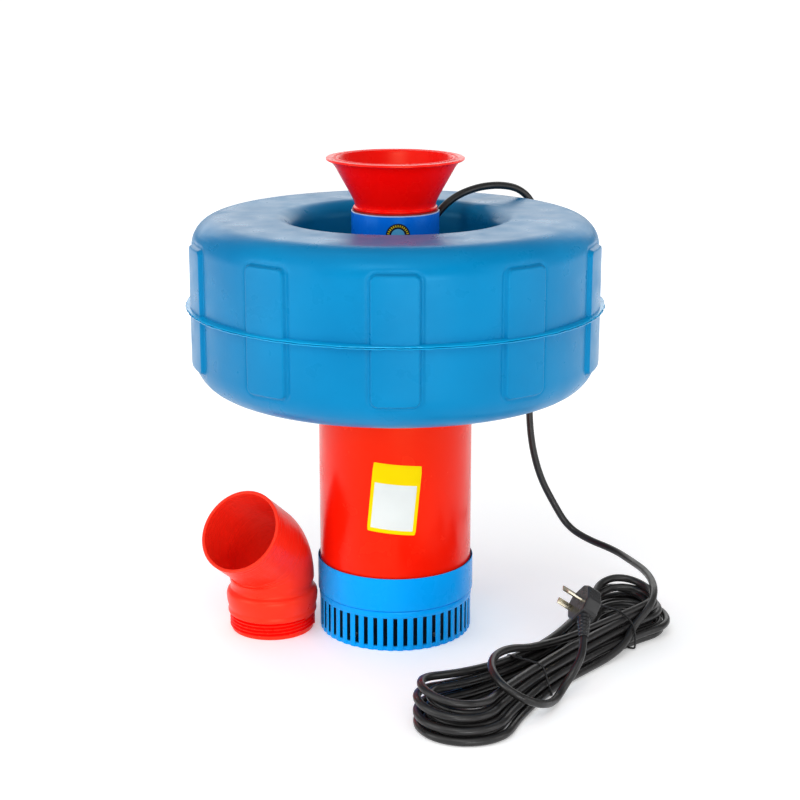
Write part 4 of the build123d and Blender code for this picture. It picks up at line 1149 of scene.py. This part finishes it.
@dataclass
class FloatRing:
    """Blow-moulded ring float with raised pads and a flash seam."""

    radius: float = 207.0
    top: float = 443.0
    bottom: float = 268.0
    top_round: float = 28.0
    bottom_round: float = 35.0
    well_r: float = 105.0
    well_round: float = 18.0
    ledge_r: float = 99.5
    ledge_z: float = 340.0
    hole_r: float = 84.5
    hole_round: float = 10.0
    pads: int = 10
    pad_stand: float = 3.5
    pad_width: float = 49.0
    pad_low: float = 295.0
    pad_high: float = 422.0
    pad_corner: float = 8.0
    pad_edge: float = 1.5
    pad_skirt: float = 8.0
    pads_from_r: float = 180.0
    groove: float = 0.8
    groove_place: float = 1.0
    groove_spread: float = 1.6
    seam_z: float = 354.0
    seam_reach: float = 7.4
    seam_steps: int = 540
    seam_seed: int = 5
    seam_swing: float = 0.5
    seam_memory: float = 0.72
    seam_sway: float = 0.25

    def _section(self) -> Section:
        """Returns the section from the hole's foot round the outside to the hole's top.

        Its places lie close together where the pads end, on the lower and the upper rounding.
        """
        section = Section()
        hole = (self.hole_r + self.hole_round, self.bottom + self.hole_round)
        section.arc(hole, self.hole_round, 180, 270, 5)
        section.line.append((130, self.bottom))
        low = (self.radius - self.bottom_round, self.bottom + self.bottom_round)
        section.arc(low, self.bottom_round, -90, -36, 6)
        section.arc(low, self.bottom_round, -34.8, 0, 29)
        section.upright(self.radius, (304, 306, 312, 324, 336, 346, 351, 354, 357, 362, 374, 388, 400, 408))
        section.upright(self.radius, (self.pad_high - 12 + i * 0.8 for i in range(6)))
        high = (self.radius - self.top_round, self.top - self.top_round)
        section.arc(high, self.top_round, 0, 34, 22)
        section.arc(high, self.top_round, 40, 90, 7)
        section.line.extend([(160, self.top), (140, self.top)])
        well = (self.well_r + self.well_round, self.top - self.well_round)
        section.arc(well, self.well_round, 90, 177, 10)
        section.line.extend([(self.well_r - 2.0, 400), (self.well_r - 3.8, 366),
                             (self.ledge_r + 0.6, self.ledge_z + 1.5), (self.ledge_r - 1.5, self.ledge_z),
                             (self.hole_r + 1, self.ledge_z), (self.hole_r, self.ledge_z - 1),
                             (self.hole_r, 310)])
        return section

    def _columns(self) -> list[float]:
        """Returns distances across one pad's sector, close together at the pad's edges."""
        half = self.pad_width / 2
        edge = [half - 9 + i * 0.85 for i in range(16)]
        beyond = [half + gap for gap in (6, 12, 20, 30)]
        side = [5.0, 10.0, 14.0, *edge, *beyond, math.pi * self.radius / self.pads]
        return [-place for place in reversed(side)] + [0.0] + side

    def _pad_lift(self, across: float, z: float) -> float:
        """Returns how far the skin stands out at a place on a pad's sector.

        Args:
            across: Distance from the pad's middle line.
            z: Height.

        Returns:
            The distance out of the plain skin, less than nothing in the groove round the pad.
        """
        if not self.pad_low - self.pad_skirt < z < self.pad_high + self.pad_skirt:
            return 0.0
        middle, half = (self.pad_low + self.pad_high) / 2, (self.pad_high - self.pad_low) / 2
        dx = abs(across) - (self.pad_width / 2 - self.pad_corner)
        dz = abs(z - middle) - (half - self.pad_corner)
        distance = math.hypot(max(dx, 0.0), max(dz, 0.0)) + min(max(dx, dz), 0.0) - self.pad_corner
        share = min(max(0.5 - (distance + self.pad_edge) / (2 * self.pad_edge), 0.0), 1.0)
        draw_in = self.groove * math.exp(-((distance - self.groove_place) / self.groove_spread) ** 2)
        return self.pad_stand * share * share * (3 - 2 * share) - draw_in

    def build(self, shelf: FinishShelf) -> None:
        """Builds the float's skin and its seam.

        Args:
            shelf: Where materials come from.
        """
        section = self._section()
        columns = self._columns()
        mesh, cells = laid_grid(len(columns), len(section.line))
        for vert, (i, j) in cells.items():
            r, z = section.line[j]
            lift = self._pad_lift(columns[i], z) if r > self.pads_from_r else 0.0
            angle = columns[i] / self.radius - math.pi / 2
            slope = section.slope(j)
            out = r + slope.x * lift
            vert.co = Vector((out * math.cos(angle), out * math.sin(angle), z + slope.y * lift)) * MM
        repeated_round(mesh, self.pads)
        bmesh.ops.bridge_loops(mesh, edges=[e for e in mesh.edges if e.is_boundary])
        placed(mesh, "float_skin", [shelf.of(FLOAT_BLUE)], "pump_body", ["float_ring"],
               crease=50.0)
        self._seam(shelf)

    def _seam(self, shelf: FinishShelf) -> None:
        """Builds the double flash line with its uneven trimmed edge.

        The lower line reads the same unevenness as the upper one from another place and at another pace.
        """
        chance = random.Random(self.seam_seed)
        rim = self.radius + self.seam_reach
        lower = [(self.radius - 2, 2.2), (self.radius + 3.4, 1.9), (rim - 0.5, 1.3), (rim, 0.5)]
        section = [(r, self.seam_z - half, 0) for r, half in lower] + [(rim - 2.2, self.seam_z, 0)]
        section += [(r, self.seam_z + half, 0) for r, half in reversed(lower)]
        mesh = spun(section, self.seam_steps)
        swing: list[float] = []
        level = 0.0
        for _ in range(self.seam_steps):
            level = self.seam_memory * level + chance.uniform(-self.seam_swing, self.seam_swing)
            swing.append(level)
        for vert in mesh.verts:
            r = math.hypot(vert.co.x, vert.co.y)
            if r < (self.radius + 2) * MM:
                continue
            share = (math.atan2(vert.co.y, vert.co.x) % math.tau) / math.tau
            i = round(share * self.seam_steps) % self.seam_steps
            other = i if vert.co.z > self.seam_z * MM else (i * 7 + 90) % self.seam_steps
            grown = 1 + min(swing[other], self.seam_swing) * MM / r
            vert.co.x *= grown
            vert.co.y *= grown
            vert.co.z += self.seam_sway * swing[(i + 200) % self.seam_steps] * MM
        # The seam's lighter blue is a painted highlight.
        placed(mesh, "float_seam", [shelf.of(SEAM_HIGHLIGHT_BLUE)], "pump_body", crease=40.0)


@dataclass
class Strainer:
    """Slotted cup with rounded ribs, a groove from each slot to the foot, and the thin band over it."""

    radius: float = 80.6
    wall: float = 2.4
    slots: int = 48
    slot_width: float = 4.3
    slot_low: float = 4.8
    slot_high: float = 35.6
    groove: float = 1.1
    groove_top: float = 36.4
    ring_stand: float = 0.7
    band_foot: float = 45.0
    band_top: float = 80.0
    band_r: float = 82.5
    floor_top: float = 5.0
    floor_r: float = 77.0

    def _columns(self) -> list[Point]:
        """Returns places across one slot's sector, each with how deep the skin lies there."""
        half = self.slot_width / 2
        end = math.pi * self.radius / self.slots
        side = [(half - 0.5, self.groove), (half, 0.6), (half + 0.5, 0.2), (half + 1.3, 0.0), (end, 0.0)]
        return [(-across, depth) for across, depth in reversed(side)] + [(0.0, self.groove)] + side

    def _rows(self) -> list[Point]:
        """Returns the cup's section from its foot to the band's top, as radius and height."""
        skin, ring = self.radius, self.radius + self.ring_stand
        low, high, foot = self.slot_low, self.slot_high, self.band_foot
        cup = [(skin - 1.1, 0.0), (skin - 0.3, 0.35), (skin, 1.2), (skin, low - 0.4), (skin, low),
               (skin, low + 0.5), (skin, 20.0), (skin, high - 0.5), (skin, high), (skin, high + 0.6),
               (skin, high + 1.0)]
        raised_ring = [(ring - 0.2, high + 1.6), (ring, high + 2.4), (ring, foot - 2.4),
                       (ring - 0.3, foot - 1.8)]
        band = [(skin - 0.3, foot - 1.5), (skin - 0.3, foot - 0.5), (self.band_r - 0.3, foot - 0.2),
                (self.band_r, foot + 0.3), (self.band_r, self.band_top - 0.5),
                (self.band_r - 0.5, self.band_top)]
        return cup + raised_ring + band

    def build(self, shelf: FinishShelf) -> None:
        """Builds the strainer: one slot's sector, repeated round, filled at the foot and given its wall.

        Args:
            shelf: Where materials come from.
        """
        columns, rows = self._columns(), self._rows()
        mesh, cells = laid_grid(len(columns), len(rows))
        in_slot: dict[bmesh.types.BMVert, bool] = {}
        for vert, (i, j) in cells.items():
            across, depth = columns[i]
            r, z = rows[j]
            in_slot[vert] = abs(across) <= self.slot_width / 2 and self.slot_low <= z <= self.slot_high
            angle = across / self.radius + math.pi / 2
            out = r - (depth if z < self.groove_top else 0.0)
            vert.co = Vector((out * math.cos(angle), out * math.sin(angle), z)) * MM
        slot = [f for f in mesh.faces if all(in_slot[v] for v in f.verts)]
        bmesh.ops.delete(mesh, geom=slot, context="FACES")
        repeated_round(mesh, self.slots)
        foot = [e for e in mesh.edges if e.is_boundary and all(v.co.z < 0.2 * MM for v in e.verts)]
        bmesh.ops.holes_fill(mesh, edges=foot, sides=0)
        bmesh.ops.recalc_face_normals(mesh, faces=mesh.faces)
        if sum(f.normal.z * f.calc_area() for f in mesh.faces if f.calc_center_median().z < 0.1 * MM) > 0:
            bmesh.ops.reverse_faces(mesh, faces=mesh.faces)
        bmesh.ops.solidify(mesh, geom=mesh.faces[:], thickness=self.wall * MM)
        bmesh.ops.recalc_face_normals(mesh, faces=mesh.faces)
        # Painted shade: the inside faces and the floor's top get the near-black blue.
        self._paint_inside_shade(mesh)
        placed(mesh, "strainer_cup", [shelf.of(STRAINER_BLUE), shelf.of(STRAINER_PAINTED_SHADE)], "pump_body",
               ["strainer"], crease=28.0)

    def _paint_inside_shade(self, mesh: Mesh) -> None:
        """Gives the floor's top and the faces that look inwards the second material, a painted shade:
        near-black blue where the cup's inside lies in shade.
        """
        for face in mesh.faces:
            centre = face.calc_center_median()
            level = Vector((centre.x, centre.y, 0.0))
            on_floor = (face.normal.z > 0.7 and centre.z < self.floor_top * MM
                        and level.length < self.floor_r * MM)
            if on_floor or face.normal.dot(level.normalized()) < -0.6:
                face.material_index = 1


@dataclass
class Film:
    """Thin printed film on a tube about the pump axis."""

    radius: float
    across: float
    height: float
    tilt: float = 0.0
    lift: float = 0.16
    thickness: float = 0.12

    def lay(self, mesh: Mesh) -> None:
        """Gives a flat mesh its thickness and bends it round the tube.

        Args:
            mesh: Flat mesh, drawn in X and Y millimetres about its centre, in metres afterwards.
        """
        for vert in mesh.verts:
            vert.co.z = self.lift
        bmesh.ops.solidify(mesh, geom=mesh.faces[:], thickness=self.thickness)
        turn = Matrix.Rotation(math.radians(self.tilt), 3, "Z")
        bmesh.ops.rotate(mesh, verts=mesh.verts, cent=ORIGIN, matrix=turn)
        for vert in mesh.verts:
            x, y, lift = vert.co
            angle = (self.across + x) / self.radius
            out = self.radius + lift
            vert.co = Vector((out * math.sin(angle), -out * math.cos(angle), self.height + y)) * MM


@dataclass
class Barrel:
    """Enamelled outer tube with its plain two-colour label."""

    radius: float = 80.0
    wall: float = 4.0
    foot: float = 53.0
    top: float = 338.5
    label_half: Point = (25.2, 36.75)
    label_across: float = -0.9
    label_height: float = 165.2
    label_tilt: float = -5.65
    panel_side: float = 21.7
    panel_low: float = -32.7
    panel_high: float = 15.7
    corner_trim: Point = (0.975, 0.985)

    def build(self, shelf: FinishShelf) -> None:
        """Builds the tube and the label.

        Args:
            shelf: Where materials come from.
        """
        bore = self.radius - self.wall
        mesh = spun([(bore, self.foot, 0), (self.radius, self.foot, 0.4), (self.radius, self.top, 0.4),
                     (bore, self.top, 0)], steps=256)
        placed(mesh, "barrel_tube", [shelf.of(BARREL_RED)], "pump_body", ["barrel"])
        self._label(shelf)

    def _label(self, shelf: FinishShelf) -> None:
        """Builds the label: a yellow film with a plain white panel under a plain header."""
        half_x, half_y = self.label_half
        mesh = bmesh.new()
        bmesh.ops.create_grid(mesh, x_segments=30, y_segments=10, size=1.0)
        bmesh.ops.scale(mesh, vec=(half_x, half_y, 1), verts=mesh.verts)
        upright = [((x, 0, 0), (1, 0, 0)) for x in (-self.panel_side, self.panel_side)]
        level = [((0, y, 0), (0, 1, 0)) for y in (self.panel_low, self.panel_high)]
        for point, normal in upright + level:
            bmesh.ops.bisect_plane(mesh, geom=[*mesh.verts, *mesh.edges, *mesh.faces], plane_co=point,
                                   plane_no=normal)
        for vert in mesh.verts:
            if abs(vert.co.x) > 0.99 * half_x and abs(vert.co.y) > 0.99 * half_y:
                vert.co.x *= self.corner_trim[0]
                vert.co.y *= self.corner_trim[1]
        for face in mesh.faces:
            x, y, _ = face.calc_center_median()
            face.material_index = int(abs(x) < self.panel_side and self.panel_low < y < self.panel_high)
        Film(self.radius, self.label_across, self.label_height, self.label_tilt).lay(mesh)
        placed(mesh, "barrel_label", [shelf.of(LABEL_YELLOW), shelf.of(LABEL_WHITE)], "pump_body")


@dataclass
class OutletSleeve:
    """Threaded sleeve under the horn, with a small round badge."""

    radius: float = 44.8
    bore: float = 40.7
    thread_r: float = 45.5
    foot: float = 380.5
    thread_top: float = 399.0
    shoulder_top: float = 401.5
    top: float = 448.5
    badge_across: float = 2.7
    badge_height: float = 429.0
    badge_radii: tuple[float, ...] = (0.0, 3.5, 7.0, 7.6, 10.0, 12.3)
    centre_r: float = 7.0
    ticks: int = 28
    tick_sides: Point = (0.9, 2.2)
    tick_r: float = 9.9

    def build(self, shelf: FinishShelf) -> None:
        """Builds the sleeve and the badge.

        Args:
            shelf: Where materials come from.
        """
        mesh = spun([(self.bore, self.foot, 0), (self.thread_r, self.foot, 0),
                     (self.thread_r, self.thread_top, 0.2), (self.radius, self.thread_top, 0),
                     (self.radius, self.shoulder_top, 0), (self.radius, self.top, 0.6),
                     (self.bore, self.top, 0.4)], steps=160)
        placed(mesh, "sleeve_tube", [shelf.of(SLEEVE_BLUE)], "pump_body", ["outlet_sleeve"])
        self._badge(shelf)
        self._ticks(shelf)

    def _badge(self, shelf: FinishShelf) -> None:
        """Builds the badge: a dark ring round a plain centre."""
        mesh = bmesh.new()
        lathed(mesh, [(r, 0, 0) for r in self.badge_radii], steps=64, same_place=1e-3)
        for face in mesh.faces:
            face.material_index = int(face.calc_center_median().xy.length < self.centre_r)
        Film(self.radius, self.badge_across, self.badge_height).lay(mesh)
        placed(mesh, "sleeve_badge", [shelf.of(BADGE_DARK), shelf.of(BADGE_BLUE)], "pump_body")

    def _ticks(self, shelf: FinishShelf) -> None:
        """Builds the plain ticks on the badge's ring."""
        mesh = bmesh.new()
        for i in range(self.ticks):
            tick = bmesh.ops.create_grid(mesh, x_segments=1, y_segments=1, size=0.5)["verts"]
            bmesh.ops.scale(mesh, vec=(*self.tick_sides, 1), verts=tick)
            bmesh.ops.translate(mesh, vec=(0, self.tick_r, 0), verts=tick)
            turn = Matrix.Rotation(math.tau * i / self.ticks, 3, "Z")
            bmesh.ops.rotate(mesh, verts=tick, cent=ORIGIN, matrix=turn)
        Film(self.radius, self.badge_across, self.badge_height, lift=0.24, thickness=0.08).lay(mesh)
        placed(mesh, "badge_ticks", [shelf.of(LABEL_YELLOW)], "pump_body")


@dataclass
class Horn:
    """Flared outlet with a bead, a kink in its flare and a flat turned-out lip."""

    bore: float = 37.35
    spigot_r: float = 40.55
    foot: float = 425.0
    bead_r: float = 42.8
    bead_foot: float = 450.0
    lip_r: float = 70.0
    top: float = 502.0
    steps: int = 192

    def build(self, shelf: FinishShelf) -> None:
        """Builds the horn.

        Args:
            shelf: Where materials come from.
        """
        bead = self.bead_foot
        spigot = [(self.bore, self.foot, 0.3), (self.spigot_r, self.foot, 0.5), (self.spigot_r, bead, 0),
                  (self.bead_r, bead, 0.8), (self.bead_r, bead + 2.6, 0.8), (41.0, bead + 3.2, 0.4)]
        flare = [(41.5, 457, 1.5), (44.6, 463.5, 2.5), (48.8, 471, 2.0), (61.7, 494.0, 3.0),
                 (66.2, 499.2, 1.6)]
        lip = [(self.lip_r - 0.8, self.top - 2.6), (self.lip_r, self.top - 1.9), (self.lip_r, self.top - 0.6),
               (self.lip_r - 0.6, self.top)]
        gutter = [(63.6, self.top), (62.9, self.top - 0.5), (62.5, self.top - 1.6), (61.6, self.top - 2.0),
                  (60.9, self.top - 1.7), (60.6, self.top - 0.7), (59.9, self.top), (58.8, self.top),
                  (58.0, self.top - 0.8)]
        inside = [(57.0, 498.5, 1.0), (45.4, 471, 2.0), (self.bore, 457, 3.0)]
        sharp = [(r, z, 0) for r, z in lip + gutter]
        mesh = spun(spigot + flare + sharp + inside, self.steps)
        placed(mesh, "horn_shell", [shelf.of(HORN_RED)], "horn_body", ["horn"], crease=40.0)


@dataclass
class Elbow:
    """Loose elbow: threaded foot, swelling collar, grooved neck, a pipe bent to the front left."""

    place: Point = (-131.808, -7.992)
    pipe_r: float = 45.0
    wall: float = 3.5
    foot_r: float = 43.5
    foot_top: float = 19.0
    neck_r: float = 43.8
    neck_top: float = 56.07
    bend_r: float = 50.0
    bend_steps: int = 18
    turn: float = 53.0
    heading: float = 239.0
    straight: float = 45.07
    straight_parts: tuple[float, ...] = (0.35, 0.6, 0.05)
    mouth_round: float = 0.7
    fold_r: float = 34.0
    fold_depth: float = 1.1
    fold_pace: float = 0.42
    steps: int = 128
    thread_pitch: float = 3.7
    thread_turns: float = 3.9
    thread_steps: int = 96

    def _outline(self) -> list[Point]:
        """Returns the foot's section as radius and height, down the bore and up the outside."""
        bore = self.pipe_r - self.wall
        foot = [(bore, self.neck_top), (bore, 20), (bore, 1.0), (bore + 0.8, 0.0), (self.foot_r - 0.7, 0.0),
                (self.foot_r, 0.7), (self.foot_r, self.foot_top)]
        flange = [(46.0, 19.2), (46.9, 19.7), (47.2, 20.5), (47.2, 22.6), (46.8, 23.8), (46.5, 24.8)]
        collar = [(46.7, 26.2), (47.4, 29.0), (48.1, 32.5), (48.4, 36.0), (48.5, 39.0), (48.2, 41.4),
                  (47.5, 43.2), (46.4, 44.6), (45.1, 45.4)]
        neck = [(44.2, 46.2), (self.neck_r, 47.6), (self.neck_r, 50.6), (44.1, 52.4), (44.6, 54.2),
                (self.pipe_r, self.neck_top)]
        return foot + flange + collar + neck

    def build(self, shelf: FinishShelf) -> None:
        """Builds the elbow and its thread.

        Args:
            shelf: Where materials come from.
        """
        head = math.radians(self.heading)
        level = Vector((math.cos(head), math.sin(head), 0))
        axis = Vector(UP).cross(level)
        centre = Vector((0, 0, self.neck_top)) + level * self.bend_r
        mesh = bmesh.new()
        lathed(mesh, [(r * MM, 0, z * MM) for r, z in self._outline()], self.steps)
        rims = [e for e in mesh.edges if e.is_boundary]
        bent = bmesh.ops.spin(mesh, geom=rims + list({v for e in rims for v in e.verts}), cent=centre * MM,
                              axis=axis, dvec=ORIGIN, angle=math.radians(self.turn), steps=self.bend_steps,
                              use_merge=False, use_duplicate=False)
        turned = Matrix.Rotation(math.radians(self.turn), 3, axis)
        arm = turned @ Vector(UP)
        front = [g for g in bent["geom_last"] if isinstance(g, bmesh.types.BMEdge)]
        for part in self.straight_parts:
            grown = bmesh.ops.extrude_edge_only(mesh, edges=front)["geom"]
            moved = [g for g in grown if isinstance(g, bmesh.types.BMVert)]
            bmesh.ops.translate(mesh, verts=moved, vec=arm * self.straight * part * MM)
            edges = [g for g in grown if isinstance(g, bmesh.types.BMEdge)]
            front = [e for e in edges if all(v in moved for v in e.verts)]
        bmesh.ops.bridge_loops(mesh, edges=front)
        self._round_mouth(mesh, centre - turned @ level * self.bend_r + arm * self.straight, arm)
        self._fold(mesh, level, centre, axis)
        # The pipe wears the lighter red with the painted sheen.
        self._set_down(mesh, "elbow_pipe", shelf.of(ELBOW_PAINTED_SHEEN_RED), ["elbow"], crease=38.0)
        self._thread(shelf)

    def _round_mouth(self, mesh: Mesh, end: Vector, arm: Vector) -> None:
        """Rounds the two edges of the pipe's open end.

        Args:
            mesh: The elbow's mesh, about its own axis.
            end: The open end's centre, in millimetres.
            arm: Direction of the pipe there.
        """
        rim = [e for e in mesh.edges if all(abs((v.co / MM - end).dot(arm)) < 0.02 for v in e.verts)
               and len(e.link_faces) == 2 and abs(e.link_faces[0].normal.dot(e.link_faces[1].normal)) < 0.5]
        bmesh.ops.bevel(mesh, geom=rim, offset=self.mouth_round * MM, segments=3, affect="EDGES", profile=0.5,
                        material=-1)

    def _fold(self, mesh: Mesh, level: Vector, centre: Vector, axis: Vector) -> None:
        """Pushes faint folds into the bend's inner side.

        Args:
            mesh: The elbow's mesh, about its own axis.
            level: Level direction of the bend.
            centre: The bend's centre.
            axis: The bend's axis.
        """
        for vert in mesh.verts:
            here = vert.co / MM - centre
            flat = here - axis * here.dot(axis)
            angle = math.degrees(math.atan2(flat.z, -flat.dot(level)))
            if 0 < angle < self.turn and flat.length < self.fold_r:
                share = 1 - flat.length / self.fold_r
                fold = math.sin(math.pi * angle / self.turn) * math.sin(angle * self.fold_pace) * share
                vert.co += flat.normalized() * self.fold_depth * fold * MM

    def _thread(self, shelf: FinishShelf) -> None:
        """Builds the foot's coarse thread as one winding ridge."""
        mesh = bmesh.new()
        section = [(43.0, 1.0), (44.8, 2.1), (45.4, 2.6), (45.4, 3.0), (44.8, 3.5), (43.0, 4.5)]
        face = mesh.faces.new([mesh.verts.new((r * MM, 0, z * MM)) for r, z in section])
        bmesh.ops.spin(mesh, geom=[face, *face.verts, *face.edges], cent=ORIGIN, axis=UP,
                       dvec=(0, 0, self.thread_pitch * MM / self.thread_steps),
                       angle=math.tau * self.thread_turns, steps=int(self.thread_steps * self.thread_turns),
                       use_merge=False, use_duplicate=False)
        # The thread keeps the deeper horn red, so against the pipe's painted sheen it reads darker.
        self._set_down(mesh, "elbow_thread", shelf.of(HORN_RED), [], crease=50.0)

    def _set_down(self, mesh: Mesh, name: str, material: bpy.types.Material, replaced: Sequence[str],
                  crease: float) -> None:
        """Moves a mesh to where the elbow stands and turns it into a piece.

        Args:
            mesh: The mesh, about the elbow's own axis.
            name: The piece's name.
            material: Its material.
            replaced: CAD nodes that it stands for.
            crease: Angle in degrees past which edges stay sharp.
        """
        bmesh.ops.translate(mesh, verts=mesh.verts, vec=Vector((*self.place, 0)) * MM)
        placed(mesh, name, [material], "elbow_body", replaced, crease)


def main() -> None:
    """Builds the aerator's looks in order."""
    logging.basicConfig(level=logging.INFO, format="%(message)s")
    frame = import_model()
    shelf = FinishShelf()
    Studio().build(shelf)
    shelf.dress(frame)
    cable = Cable()
    cord = cable.build(shelf)
    ties = HankTies(cable.hank).build(shelf)
    cable.declare()
    FloatRing().build(shelf)
    Strainer().build(shelf)
    Barrel().build(shelf)
    OutletSleeve().build(shelf)
    Horn().build(shelf)
    Elbow().build(shelf)


if __name__ == "__main__":
    main()
